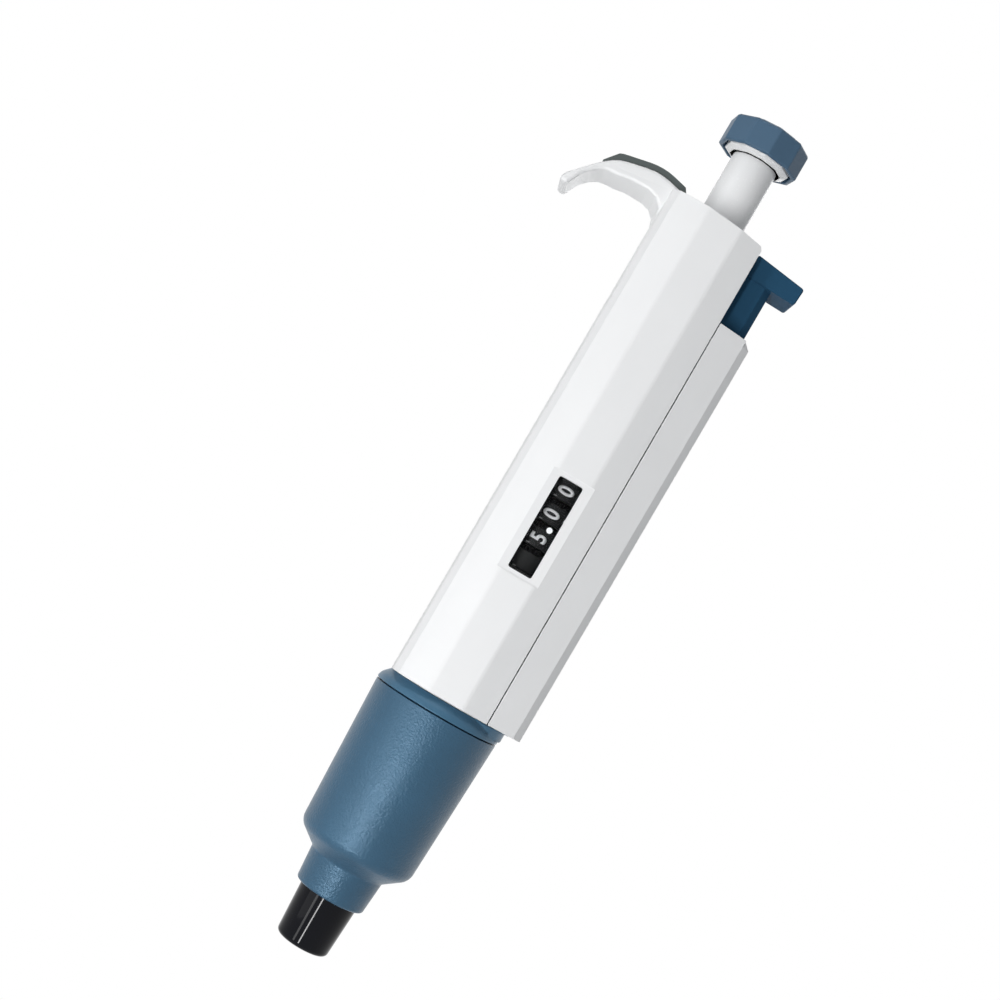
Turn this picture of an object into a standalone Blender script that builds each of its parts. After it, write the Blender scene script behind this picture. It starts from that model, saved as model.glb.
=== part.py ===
"""Single-channel 5 ml micropipette with a number counter and a tip ejector.

Metres, +Z up the pipette's axis from the nozzle's end to the knob. The tip ejector is on
the +X side, the finger hook on the -X side, and the counter's window faces -Y.
"""
import math

import bmesh
import bpy
from mathutils import Vector

MM = 0.001

# Clearances
SEAT_GAP = 0.3 * MM
RUN_GAP = 0.4 * MM

# Modelling allowances: how far cutters overrun a face, how deep joined shapes are sunk
# into each other, and how near points must lie to be merged
OVERRUN = 1.0 * MM
SINK = 0.03 * MM
MERGE = 1e-7

# Nozzle, filter and cylinder
NOZZLE_SHOWING = 14.1 * MM
NOZZLE_END_RADIUS = 7.15 * MM
NOZZLE_RADIUS = 7.9 * MM
NOZZLE_EDGE = 0.8 * MM
SPIGOT_RADIUS = 5.6 * MM
SPIGOT_LENGTH = 5.5 * MM
AIR_BORE_RADIUS = 2.2 * MM
FILTER_RADIUS = 4.2 * MM
FILTER_LENGTH = 8.0 * MM
CYLINDER_WALL = 1.7 * MM
CYLINDER_THREAD_WALL = 1.1 * MM
CYLINDER_CONE_HEIGHT = 3.9 * MM
CYLINDER_THREAD_LENGTH = 11.0 * MM

# Piston train
PISTON_RADIUS = 10.8 * MM
PISTON_HEIGHT = 10.0 * MM
PISTON_END_GAP = 0.8 * MM
SEAL_HEIGHT = 2.0 * MM
SEAL_DEPTH = 1.2 * MM
ROD_RADIUS = 4.0 * MM
ROD_NECK_RADIUS = 2.8 * MM
COLLAR_RADIUS = 8.9 * MM
COLLAR_HEIGHT = 1.8 * MM
FIRST_STROKE = 12.7 * MM
BLOWOUT_STROKE = 3.0 * MM

# Blow-out stage on the floor of the housing, with the main spring round its cup
FLOOR_THICKNESS = 3.2 * MM
GUIDE_RADIUS = 5.4 * MM
GUIDE_FLANGE_RADIUS = 6.2 * MM
GUIDE_FLANGE_HEIGHT = 1.5 * MM
BLOWOUT_SPRING_RADIUS = 5.45 * MM
BLOWOUT_WIRE_RADIUS = 0.7 * MM
BLOWOUT_TURNS = 5
CUP_BORE_RADIUS = 6.6 * MM
CUP_WALL = 0.9 * MM
CUP_TOP = 1.5 * MM
BRIM_RADIUS = 9.8 * MM
BRIM_HEIGHT = 1.5 * MM
BRIM_ROOM = 0.6 * MM
STOP_PLATE_HEIGHT = 1.6 * MM
MAIN_SPRING_LENGTH = 23.4 * MM
MAIN_SPRING_RADIUS = 8.45 * MM
MAIN_WIRE_RADIUS = 0.5 * MM
MAIN_TURNS = 6

# Counter
COUNTER_HEIGHT = 50.05 * MM
WHEEL_RADIUS = 9.5 * MM
WHEEL_PITCH = 6.8 * MM
DRUM_WIDTH = 5.0 * MM
GEAR_WIDTH = 1.2 * MM
GEAR_MODULE = 0.75 * MM
WHEEL_TEETH = 20
PINION_TEETH = 8
TOOTH_ADDENDUM = 0.5 * MM
TOOTH_DEDENDUM = 0.75 * MM
TOOTH_TIP_WIDTH = 0.5 * MM
TOOTH_ROOT_WIDTH = 1.2 * MM
PINION_SHAFT_RADIUS = 0.7 * MM
SLEEVE_SHAFT_RADIUS = 4.6 * MM
SPINDLE_ACROSS_FLATS = 4.8 * MM
SPINDLE_PLUG = 10.0 * MM
PLATE_THICKNESS = 2.0 * MM
STRUT_THICKNESS = 1.9 * MM
STRUT_ARCS = ((122.0, 150.0), (42.0, 60.0))
SHROUD_WALL = 1.0 * MM
COUNTER_SIDE_ROOM = 0.5 * MM
PINION_ROOM = 0.45 * MM

# Setting screw, plunger tube and knob
TUBE_ROOM = 10.8 * MM
TUBE_RADIUS = 6.3 * MM
TUBE_WALL = 1.5 * MM
TUBE_FLANGE_RADIUS = 8.8 * MM
TUBE_FLANGE_HEIGHT = 2.0 * MM
TUBE_FLAT_DEPTH = 0.7 * MM
TUBE_SHOWING = 19.6 * MM
SCREW_HEADROOM = 6.35 * MM
SCREW_WALL = 1.5 * MM
SCREW_DOG_LENGTH = 6.0 * MM
NUT_HEIGHT = 10.0 * MM
NUT_PLACE = 0.4
BUSH_WALL = 1.75 * MM
BUSH_FLANGE = 1.4 * MM
BUSH_FLANGE_HEIGHT = 2.0 * MM
WIPER_WIDTH = 0.8 * MM
WIPER_HEIGHT = 0.9 * MM
KNOB_SIDES = 10
KNOB_TURN = 6.3
KNOB_RADIUS = 11.3 * MM
KNOB_WALL = 1.2 * MM
KNOB_HEIGHT = 7.8 * MM
KNOB_LIP = 0.85 * MM
KNOB_EDGE = 0.6 * MM
KNOB_RECESS = 3.2 * MM
KNOB_GROOVE = 0.5 * MM
CORE_WEB = 1.4 * MM
CAP_CROWN = 1.6 * MM
CAP_ARC = (35.0, 60.0, 80.0, 85.4)

# Housing, cover and hook
BODY_LENGTH = 140.5 * MM
BODY_WALL = 2.0 * MM
BODY_LEFT = 15.4 * MM
FACET_LEFT = 4.7 * MM
FACET_RIGHT = 5.0 * MM
SIDE_SLOPE = 0.364
LEFT_ROUND = 7.0 * MM
TOP_SLOPE = 0.094
TOP_WALL = 3.6 * MM
TOP_CHAMFER = 0.7 * MM
TOP_CHAMFER_FALL = 1.8 * MM
WINDOW_WIDTH = 6.7 * MM
WINDOW_LENGTH = 26.0 * MM
WINDOW_DROP = 0.6 * MM
WINDOW_ROUND = 0.6 * MM
RECESS_MARGIN = 1.2 * MM
RECESS_DEPTH = 0.35 * MM
LENS_THICKNESS = 1.0 * MM
LENS_SET_BACK = 0.5 * MM
RIB_THICKNESS = 2.0 * MM
COVER_DROP = 24.4 * MM
COVER_WALL = 1.8 * MM
COVER_CHAMFER = 2.0 * MM
COVER_TOP_CHAMFER = 1.8 * MM
COVER_TAPER = 0.6 * MM
HOOK_REACH = 42.0 * MM
HOOK_ROOT_HALF_WIDTH = 8.6 * MM
HOOK_TIP_HALF_WIDTH = 7.0 * MM
HOOK_LAND_DROP = 3.1 * MM
HOOK_LAND_LENGTH = 3.4 * MM
HOOK_FILLET = 7.2 * MM
HOOK_EDGE = 1.0 * MM
INLAY_PROUD = 1.8 * MM
INLAY_SUNK = 0.8 * MM
INLAY_END_RISE = 0.6 * MM
INLAY_SIDE_MARGIN = 1.4 * MM
INLAY_TIP_MARGIN = 8.0 * MM
INLAY_ROOT_OVERRUN = 3.8 * MM

# Outline of the hook: how far out from the body, how high over its shoulder, corner radius
HOOK_BACK = (
    (-7.0, -0.7, 0.0),
    (-2.0, 1.0, 9.0),
    (4.6, 2.6, 16.0),
    (14.5, 0.6, 12.0),
    (25.4, -9.2, 0.0),
)
HOOK_TIP = (
    (26.6, -11.4, 1.0),
    (24.0, -12.5, 0.9),
    (21.9, -8.4, 6.0),
    (18.2, -5.2, 9.0),
)

# Ejector
EJECT_STROKE = 11.0 * MM
SLEEVE_LENGTH = 53.5 * MM
SLEEVE_WALL = 1.85 * MM
NECK_WALL = 1.2 * MM
NECK_FLARE = 0.7 * MM
NECK_LENGTH = 8.95 * MM
NECK_ROUND = 1.0 * MM
SHOULDER_RISE_INSIDE = 0.8 * MM
NECK_RISE_INSIDE = 1.1 * MM
SHOULDER_RADIUS = 15.8 * MM
SHOULDER_SLOPE = 0.757
SHOULDER_ROUND = 3.2 * MM
LIP_WALL = 0.9 * MM
LIP_LENGTH = 2.8 * MM
HOUSING_SPIGOT_WALL = 1.5 * MM
RING_HEIGHT = 3.65 * MM
RING_STEP = 0.15 * MM
RING_DRAFT = 0.45 * MM
RING_FLANK = 1.6 * MM
RING_SHOULDER = 2.4 * MM
RING_ROUND = 3.0 * MM
LAND_X = 5.0 * MM
LAND_STEP = 0.5 * MM
LAND_RISE = 0.8 * MM
LAND_SPREAD = 78.0
LAND_STEPS = 5
TAB_HEIGHT = 7.0 * MM
TAB_HALF_WIDTH = 3.0 * MM
TAB_WALL = 0.8 * MM
EJECT_ROD_RADIUS = 1.2 * MM
STEM_BEYOND_ROD = 3.35 * MM
STEM_HALF_WIDTH = 6.5 * MM
STEM_CHAMFER = 2.0 * MM
STEM_SPARE = 4.35 * MM
STEM_SUNK = 12.0 * MM
STEM_SOCKET = 8.0 * MM
PAD_REACH = 14.5 * MM
PAD_HALF_WIDTH = 7.0 * MM
PAD_HEIGHT = 6.3 * MM
PAD_FALL = 1.9 * MM
PAD_EDGE = 0.7 * MM
PAD_UNDERCUT = 0.3 * MM
PAD_SAG = 0.5 * MM
EJECT_SPRING_LENGTH = 24.0 * MM
EJECT_SPRING_RADIUS = 2.6 * MM
EJECT_WIRE_RADIUS = 0.35 * MM
EJECT_TURNS = 6

# Facets
ROUND_STEPS = 40
INNER_STEPS = 28
WHEEL_STEPS = 30
SMALL_STEPS = 16
PIN_STEPS = 10
ARC_STEPS = 3
WIRE_STEPS = 10
END_TURNS = 0.75

# Heights up the axis, from the nozzle's end
SLEEVE_BOTTOM = NOZZLE_SHOWING
SLEEVE_TOP = SLEEVE_BOTTOM + SLEEVE_LENGTH
RING_BOTTOM = SLEEVE_TOP + SEAT_GAP
RING_TOP = RING_BOTTOM + RING_HEIGHT
BODY_BOTTOM = RING_TOP + SEAT_GAP
BODY_TOP = BODY_BOTTOM + BODY_LENGTH
FLOOR_TOP = BODY_BOTTOM + FLOOR_THICKNESS
CEILING = BODY_TOP - TOP_WALL - TOP_SLOPE * BODY_LEFT
COVER_TOP = BODY_TOP - COVER_DROP
NOZZLE_SHOULDER = SLEEVE_BOTTOM + NECK_LENGTH + SEAT_GAP
CYLINDER_BOTTOM = NOZZLE_SHOULDER + SEAT_GAP
CYLINDER_FLOOR = NOZZLE_SHOULDER + SPIGOT_LENGTH + SEAT_GAP
CYLINDER_BORE_BOTTOM = CYLINDER_FLOOR + CYLINDER_CONE_HEIGHT
CYLINDER_TOP = BODY_BOTTOM - SEAT_GAP
CYLINDER_SHOULDER = CYLINDER_TOP - CYLINDER_THREAD_LENGTH
TOTAL_STROKE = FIRST_STROKE + BLOWOUT_STROKE
PISTON_BOTTOM = CYLINDER_BORE_BOTTOM + PISTON_END_GAP + TOTAL_STROKE
PISTON_TOP = PISTON_BOTTOM + PISTON_HEIGHT
GUIDE_TOP = FLOOR_TOP + SEAT_GAP + GUIDE_FLANGE_HEIGHT
BLOWOUT_SPRING_BOTTOM = GUIDE_TOP + SEAT_GAP
BRIM_BOTTOM = FLOOR_TOP + BLOWOUT_STROKE + BRIM_ROOM
BRIM_TOP = BRIM_BOTTOM + BRIM_HEIGHT
STOP_PLATE_BOTTOM = BRIM_TOP + SEAT_GAP
MAIN_SPRING_BOTTOM = BRIM_TOP + SEAT_GAP
COLLAR_BOTTOM = MAIN_SPRING_BOTTOM + MAIN_SPRING_LENGTH + SEAT_GAP
COLLAR_TOP = COLLAR_BOTTOM + COLLAR_HEIGHT
CUP_CROWN = COLLAR_BOTTOM - SEAT_GAP - FIRST_STROKE
BLOWOUT_SPRING_TOP = CUP_CROWN - CUP_TOP - SEAT_GAP
SPINDLE_BOTTOM = COLLAR_TOP + SEAT_GAP
COUNTER_MIDDLE = BODY_BOTTOM + COUNTER_HEIGHT
WHEEL_HUB = WHEEL_PITCH - SEAT_GAP
COUNTER_FLOOR = COUNTER_MIDDLE - 1.5 * WHEEL_PITCH - DRUM_WIDTH / 2 - SEAT_GAP
COUNTER_CEILING = COUNTER_FLOOR + SEAT_GAP + 4 * WHEEL_PITCH
FRAME_BOTTOM = COUNTER_FLOOR - PLATE_THICKNESS
FRAME_TOP = COUNTER_CEILING + PLATE_THICKNESS
TUBE_BOTTOM = FRAME_TOP + TOTAL_STROKE + TUBE_ROOM
TUBE_FLANGE_TOP = TUBE_BOTTOM + TUBE_FLANGE_HEIGHT
SCREW_BOTTOM = TUBE_FLANGE_TOP + SEAT_GAP
SCREW_TOP = CEILING - BUSH_FLANGE_HEIGHT - SCREW_HEADROOM
NUT_BOTTOM = SCREW_BOTTOM + NUT_PLACE * (SCREW_TOP - SCREW_BOTTOM - NUT_HEIGHT)
KNOB_BOTTOM = BODY_TOP + TUBE_SHOWING
KNOB_TOP = KNOB_BOTTOM + KNOB_HEIGHT
CORE_TOP = KNOB_TOP - CAP_CROWN
TUBE_TOP = CORE_TOP - CORE_WEB - SEAT_GAP
STEM_BOTTOM = COVER_TOP - STEM_SUNK
PAD_BOTTOM = COVER_TOP + EJECT_STROKE + STEM_SPARE
EJECT_SPRING_BOTTOM = STEM_BOTTOM - SEAT_GAP - EJECT_SPRING_LENGTH
LOWER_RIB_BOTTOM = RING_TOP + TAB_HEIGHT + RUN_GAP

# Radii and places across the axis
CYLINDER_BORE_RADIUS = PISTON_RADIUS + SEAT_GAP
THREAD_RADIUS = CYLINDER_BORE_RADIUS + CYLINDER_THREAD_WALL
CYLINDER_RADIUS = CYLINDER_BORE_RADIUS + CYLINDER_WALL
HOUSING_SPIGOT_RADIUS = THREAD_RADIUS + SEAT_GAP + HOUSING_SPIGOT_WALL
RING_BORE_RADIUS = HOUSING_SPIGOT_RADIUS + RUN_GAP
LIP_RADIUS = RING_BORE_RADIUS + LIP_WALL
SLEEVE_BORE_RADIUS = LIP_RADIUS + SEAT_GAP
SLEEVE_RADIUS = SLEEVE_BORE_RADIUS + SLEEVE_WALL
RING_RADIUS = SLEEVE_RADIUS + RING_STEP
WHEEL_PITCH_RADIUS = GEAR_MODULE * WHEEL_TEETH / 2
PINION_PITCH_RADIUS = GEAR_MODULE * PINION_TEETH / 2
PINION_Y = WHEEL_PITCH_RADIUS + PINION_PITCH_RADIUS
BODY_HALF_DEPTH = PINION_Y + PINION_PITCH_RADIUS + TOOTH_ADDENDUM + PINION_ROOM + BODY_WALL
PARTING_X = WHEEL_RADIUS + COUNTER_SIDE_ROOM + BODY_WALL
EJECT_ROD_X = RING_BORE_RADIUS + TAB_WALL + EJECT_ROD_RADIUS + SEAT_GAP
STEM_LEFT = PARTING_X + RUN_GAP
STEM_RIGHT = EJECT_ROD_X + STEM_BEYOND_ROD
COVER_LEFT = PARTING_X + SEAT_GAP
COVER_RIGHT = STEM_RIGHT + RUN_GAP + COVER_WALL
COVER_SIDE_HALF = STEM_HALF_WIDTH + RUN_GAP + COVER_WALL + SEAT_GAP
TAB_LEFT = RING_BORE_RADIUS
TAB_RIGHT = EJECT_ROD_X + EJECT_ROD_RADIUS + SEAT_GAP + TAB_WALL
RIB_RIGHT = COVER_RIGHT - COVER_TAPER - COVER_WALL - SEAT_GAP
SCREW_BORE_RADIUS = TUBE_RADIUS + RUN_GAP
SCREW_RADIUS = SCREW_BORE_RADIUS + SCREW_WALL
BUSH_BORE_RADIUS = TUBE_RADIUS + RUN_GAP
BUSH_RADIUS = BUSH_BORE_RADIUS + BUSH_WALL
SPINDLE_SLIDE_FLATS = SPINDLE_ACROSS_FLATS + 2 * SEAT_GAP

FINISHES = {
    "white_shell": ((0.86, 0.87, 0.88), 0.38, 0.0),
    "slate_blue": ((0.16, 0.24, 0.33), 0.55, 0.0),
    "dark_blue": ((0.05, 0.09, 0.14), 0.45, 0.0),
    "black_nozzle": ((0.008, 0.009, 0.011), 0.12, 0.0),
    "grip_grey": ((0.08, 0.095, 0.09), 0.5, 0.0),
    "counter_black": ((0.012, 0.012, 0.013), 0.5, 0.0),
    "clear_lens": ((0.9, 0.93, 0.95), 0.05, 0.0),
    "frit_white": ((0.85, 0.85, 0.83), 0.8, 0.0),
    "inner_grey": ((0.35, 0.36, 0.38), 0.5, 0.0),
    "seal_rubber": ((0.03, 0.03, 0.03), 0.6, 0.0),
    "steel": ((0.62, 0.62, 0.64), 0.25, 1.0),
    "brass": ((0.75, 0.58, 0.26), 0.3, 1.0),
}


def clear_scene():
    for thing in list(bpy.data.objects):
        bpy.data.objects.remove(thing, do_unlink=True)


def finish_material(name):
    """The material of one finish, made once and shared."""
    if name in bpy.data.materials:
        return bpy.data.materials[name]
    colour, roughness, metallic = FINISHES[name]
    material = bpy.data.materials.new(name)
    material.use_nodes = True
    shader = material.node_tree.nodes["Principled BSDF"]
    shader.inputs["Base Color"].default_value = (*colour, 1.0)
    shader.inputs["Roughness"].default_value = roughness
    shader.inputs["Metallic"].default_value = metallic
    material.diffuse_color = (*colour, 1.0)
    return material


def place(name, bm, finish=None):
    """Turn a finished bmesh into a named object in the scene."""
    bmesh.ops.remove_doubles(bm, verts=bm.verts, dist=MERGE)
    bmesh.ops.recalc_face_normals(bm, faces=bm.faces)
    mesh = bpy.data.meshes.new(name)
    bm.to_mesh(mesh)
    bm.free()
    thing = bpy.data.objects.new(name, mesh)
    bpy.context.collection.objects.link(thing)
    if finish:
        mesh.materials.append(finish_material(finish))
    return thing


def smooth(thing, angle=30.0):
    thing.data.shade_smooth()
    thing.data.set_sharp_from_angle(angle=math.radians(angle))
    return thing


def combine(thing, tools, operation):
    """Cut away, or join on, each tool in turn, then drop the tools."""
    for tool in tools:
        step = thing.modifiers.new(operation, "BOOLEAN")
        step.operation = operation
        step.solver = "EXACT"
        step.object = tool
        graph = bpy.context.evaluated_depsgraph_get()
        result = bpy.data.meshes.new_from_object(thing.evaluated_get(graph))
        thing.modifiers.clear()
        thing.data = result
        bpy.data.objects.remove(tool, do_unlink=True)
    return thing


def cut(thing, *tools):
    return combine(thing, tools, "DIFFERENCE")


def join(thing, *tools):
    return combine(thing, tools, "UNION")


def rounded(corners, closed=True, steps=ARC_STEPS):
    """Points of an outline whose corners (a, b, radius) are rounded by arcs."""
    points = []
    count = len(corners)
    for i, (a, b, radius) in enumerate(corners):
        if radius <= 0 or (not closed and i in (0, count - 1)):
            points.append((a, b))
            continue
        here = Vector((a, b))
        before = Vector(corners[i - 1][:2]) - here
        after = Vector(corners[(i + 1) % count][:2]) - here
        half = before.angle(after) / 2
        free_before = 0.98 if corners[i - 1][2] <= 0 else 0.49
        free_after = 0.98 if corners[(i + 1) % count][2] <= 0 else 0.49
        reach = min(radius / math.tan(half), free_before * before.length, free_after * after.length)
        radius = reach * math.tan(half)
        centre = here + (before.normalized() + after.normalized()).normalized() * radius / math.sin(half)
        first = here + before.normalized() * reach - centre
        last = here + after.normalized() * reach - centre
        sweep = first.angle_signed(last)
        for k in range(steps + 1):
            turn = -sweep * k / steps
            x = first.x * math.cos(turn) - first.y * math.sin(turn)
            y = first.x * math.sin(turn) + first.y * math.cos(turn)
            points.append((centre.x + x, centre.y + y))
    return points


def inset(outline, distance):
    """A convex outline, listed anticlockwise, moved inwards by a distance."""
    moved = []
    count = len(outline)
    for i in range(count):
        here = Vector(outline[i])
        back = (here - Vector(outline[i - 1])).normalized()
        on = (Vector(outline[(i + 1) % count]) - here).normalized()
        bisector = (Vector((-back.y, back.x)) + Vector((-on.y, on.x))).normalized()
        shift = distance / max(bisector.dot(Vector((-on.y, on.x))), 0.2)
        moved.append(tuple(here + bisector * shift))
    return moved


def loft(name, levels, finish=None):
    """A solid through outlines with the same number of points, each at its height."""
    bm = bmesh.new()
    rings = [[bm.verts.new((x, y, z)) for x, y in outline] for z, outline in levels]
    count = len(rings[0])
    for low, high in zip(rings, rings[1:]):
        for i in range(count):
            j = (i + 1) % count
            bm.faces.new((low[i], low[j], high[j], high[i]))
    bm.faces.new(list(reversed(rings[0])))
    bm.faces.new(rings[-1])
    return place(name, bm, finish)


def prism(name, outline, bottom, top, finish=None):
    return loft(name, [(bottom, outline), (top, outline)], finish)


def side_profile(name, outline, half_width, finish=None):
    """A solid with an outline in X and Z, as wide each way in Y as half_width(x)."""
    bm = bmesh.new()
    front = [bm.verts.new((x, -half_width(x), z)) for x, z in outline]
    back = [bm.verts.new((x, half_width(x), z)) for x, z in outline]
    count = len(outline)
    for i in range(count):
        j = (i + 1) % count
        bm.faces.new((front[i], front[j], back[j], back[i]))
    bm.faces.new(front)
    bm.faces.new(list(reversed(back)))
    return place(name, bm, finish)


def turned(name, profile, finish=None, centre=(0.0, 0.0), steps=ROUND_STEPS):
    """Spin a closed profile of (radius, height) points about a vertical axis."""
    bm = bmesh.new()
    verts = [bm.verts.new((radius, 0.0, height)) for radius, height in profile]
    edges = [bm.edges.new((verts[i - 1], verts[i])) for i in range(len(verts))]
    edges = [e for e in edges if max(v.co.x for v in e.verts) > MERGE]
    bmesh.ops.spin(
        bm, geom=verts + edges, cent=(0, 0, 0), axis=(0, 0, 1), angle=2 * math.pi, steps=steps
    )
    bmesh.ops.remove_doubles(bm, verts=bm.verts, dist=MERGE)
    loose = [e for e in bm.edges if not e.link_faces]
    bmesh.ops.delete(bm, geom=loose, context="EDGES")
    bmesh.ops.translate(bm, verts=bm.verts, vec=(centre[0], centre[1], 0.0))
    return place(name, bm, finish)


def drill(radius, bottom, top, centre=(0.0, 0.0), steps=ROUND_STEPS):
    return turned("drill", ring_profile(0.0, radius, bottom, top), None, centre, steps)


def ring_profile(inner, outer, bottom, top):
    return [(inner, bottom), (outer, bottom), (outer, top), (inner, top)]


def box(low, high):
    (x0, y0, z0), (x1, y1, z1) = low, high
    return prism("box", [(x0, y0), (x1, y0), (x1, y1), (x0, y1)], z0, z1)


def polygon(sides, radius, turn=0.0):
    """A regular outline; a corner lies at the given turn from the -Y direction."""
    points = []
    for k in range(sides):
        angle = math.radians(turn - 90.0) + 2 * math.pi * k / sides
        points.append((radius * math.cos(angle), radius * math.sin(angle)))
    return points


def hexagon(across_flats):
    return polygon(6, across_flats / math.sqrt(3))


def gear_outline(teeth, pitch_radius, first_angle):
    """Outline of straight-sided teeth, the first one pointing at first_angle degrees."""
    root = pitch_radius - TOOTH_DEDENDUM
    tip = pitch_radius + TOOTH_ADDENDUM
    root_half = TOOTH_ROOT_WIDTH / 2 / root
    tip_half = TOOTH_TIP_WIDTH / 2 / tip
    points = []
    for k in range(teeth):
        middle = math.radians(first_angle) + 2 * math.pi * k / teeth
        for radius, angle in ((root, -root_half), (tip, -tip_half), (tip, tip_half), (root, root_half)):
            points.append((radius * math.cos(middle + angle), radius * math.sin(middle + angle)))
    return points


def coil(name, radius, wire, bottom, top, turns, centre=(0.0, 0.0)):
    """A helical compression spring whose end turns lie flat."""
    curve = bpy.data.curves.new(name, "CURVE")
    curve.dimensions = "3D"
    curve.bevel_depth = wire
    curve.bevel_resolution = 1
    curve.use_fill_caps = True
    spline = curve.splines.new("POLY")
    count = int(turns * WIRE_STEPS) + 1
    spline.points.add(count - 1)
    low, high = bottom + wire, top - wire
    for i in range(count):
        turn = i / WIRE_STEPS
        along = min(max((turn - END_TURNS) / (turns - 2 * END_TURNS), 0.0), 1.0)
        angle = 2 * math.pi * turn
        x = centre[0] + radius * math.cos(angle)
        y = centre[1] + radius * math.sin(angle)
        spline.points[i].co = (x, y, low + (high - low) * along, 1.0)
    wire_form = bpy.data.objects.new("wire", curve)
    bpy.context.collection.objects.link(wire_form)
    graph = bpy.context.evaluated_depsgraph_get()
    mesh = bpy.data.meshes.new_from_object(wire_form.evaluated_get(graph))
    bpy.data.objects.remove(wire_form, do_unlink=True)
    bm = bmesh.new()
    bm.from_mesh(mesh)
    return smooth(place(name, bm, "steel"), 60.0)


def round_edges(thing, width, angle=40.0, segments=2):
    """Round every sharp edge of a solid by a bevel."""
    step = thing.modifiers.new("edges", "BEVEL")
    step.width = width
    step.segments = segments
    step.limit_method = "ANGLE"
    step.angle_limit = math.radians(angle)
    graph = bpy.context.evaluated_depsgraph_get()
    result = bpy.data.meshes.new_from_object(thing.evaluated_get(graph))
    thing.modifiers.clear()
    thing.data = result
    return thing


def side_y(x):
    """Half depth of the outer section at x, on either sloping side plane."""
    edge = -FACET_LEFT if x < 0 else FACET_RIGHT
    return BODY_HALF_DEPTH - SIDE_SLOPE * abs(x - edge)


def housing_outline():
    front = [
        (-BODY_LEFT, -side_y(-BODY_LEFT), LEFT_ROUND),
        (-FACET_LEFT, -BODY_HALF_DEPTH, 0.0),
        (FACET_RIGHT, -BODY_HALF_DEPTH, 0.0),
        (PARTING_X, -side_y(PARTING_X), 0.0),
    ]
    back = [(x, -y, r) for x, y, r in reversed(front)]
    return rounded(front + back)


def cover_outline(growth=0.0, left=COVER_LEFT):
    """Outer section of the ejector cover; growth moves its side face outwards."""
    corner = COVER_RIGHT + growth - COVER_CHAMFER
    front = [
        (left, -side_y(left)),
        (corner, -side_y(corner)),
        (COVER_RIGHT + growth, -COVER_SIDE_HALF),
    ]
    return front + [(x, -y) for x, y in reversed(front)]


def stem_outline(growth=0.0):
    half = STEM_HALF_WIDTH + growth
    right = STEM_RIGHT + growth
    return [
        (STEM_LEFT - growth, -half),
        (right - STEM_CHAMFER, -half),
        (right, -half + STEM_CHAMFER),
        (right, half - STEM_CHAMFER),
        (right - STEM_CHAMFER, half),
        (STEM_LEFT - growth, half),
    ]


def top_height(x):
    """Height of the housing's sloping top face at x."""
    return BODY_TOP - TOP_SLOPE * (x + BODY_LEFT)


def hook_land():
    """Height of the flat underside that a stand's rail carries."""
    return BODY_TOP - HOOK_LAND_DROP


def hook_points(line):
    """Points of a hook outline in X and Z, stretched to the hook's reach."""
    stretch = (HOOK_REACH - BODY_LEFT) / HOOK_TIP[0][0]
    return [(-BODY_LEFT - out * stretch, BODY_TOP + up * MM, radius * MM) for out, up, radius in line]


def hook_half_width(x):
    along = max((-x - BODY_LEFT) / (HOOK_REACH - BODY_LEFT), 0.0)
    return HOOK_ROOT_HALF_WIDTH + (HOOK_TIP_HALF_WIDTH - HOOK_ROOT_HALF_WIDTH) * along


def hook_blank():
    """The hook with its root sunk into the housing's shoulder."""
    land = hook_land()
    land_right = -BODY_LEFT - HOOK_FILLET
    foot = land - HOOK_FILLET - SEAT_GAP
    line = hook_points(HOOK_BACK + HOOK_TIP)
    line += [
        (land_right - HOOK_LAND_LENGTH, land, HOOK_FILLET),
        (-BODY_LEFT + SINK, land, HOOK_FILLET),
        (-BODY_LEFT + SINK, foot, 0.0),
        (-BODY_LEFT / 2, foot, 0.0),
    ]
    blank = side_profile("hook", rounded(line), hook_half_width)
    return round_edges(blank, HOOK_EDGE, angle=60.0)


def along_line(line, x):
    """The point of a line, whose X falls all the way, at a given X."""
    for (xa, za), (xb, zb) in zip(line, line[1:]):
        if xb <= x <= xa:
            return Vector((x, za + (zb - za) * (xa - x) / (xa - xb)))
    return Vector(line[-1])


def inlay_solid(sunk, proud, margin, name="inlay", finish=None):
    """A strip that follows the hook's back, sunk into it and standing proud of it."""
    first = -BODY_LEFT + INLAY_ROOT_OVERRUN + margin
    last = -HOOK_REACH + INLAY_TIP_MARGIN - margin
    line = rounded(hook_points(HOOK_BACK), closed=False, steps=4)
    spots = [Vector(p) for p in line if last < p[0] < first]
    spots = [along_line(line, first)] + spots + [along_line(line, last)]
    upper, lower = [], []
    for i, here in enumerate(spots):
        before = spots[max(i - 1, 0)]
        after = spots[min(i + 1, len(spots) - 1)]
        along = (after - before).normalized()
        out = Vector((along.y, -along.x))
        rise = proud if 0 < i < len(spots) - 1 else min(proud, INLAY_END_RISE)
        upper.append(tuple(here + out * rise))
        lower.append(tuple(here - out * sunk))
    outline = upper + list(reversed(lower))
    return side_profile(name, outline, lambda x: hook_half_width(x) - INLAY_SIDE_MARGIN + margin, finish)


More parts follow.
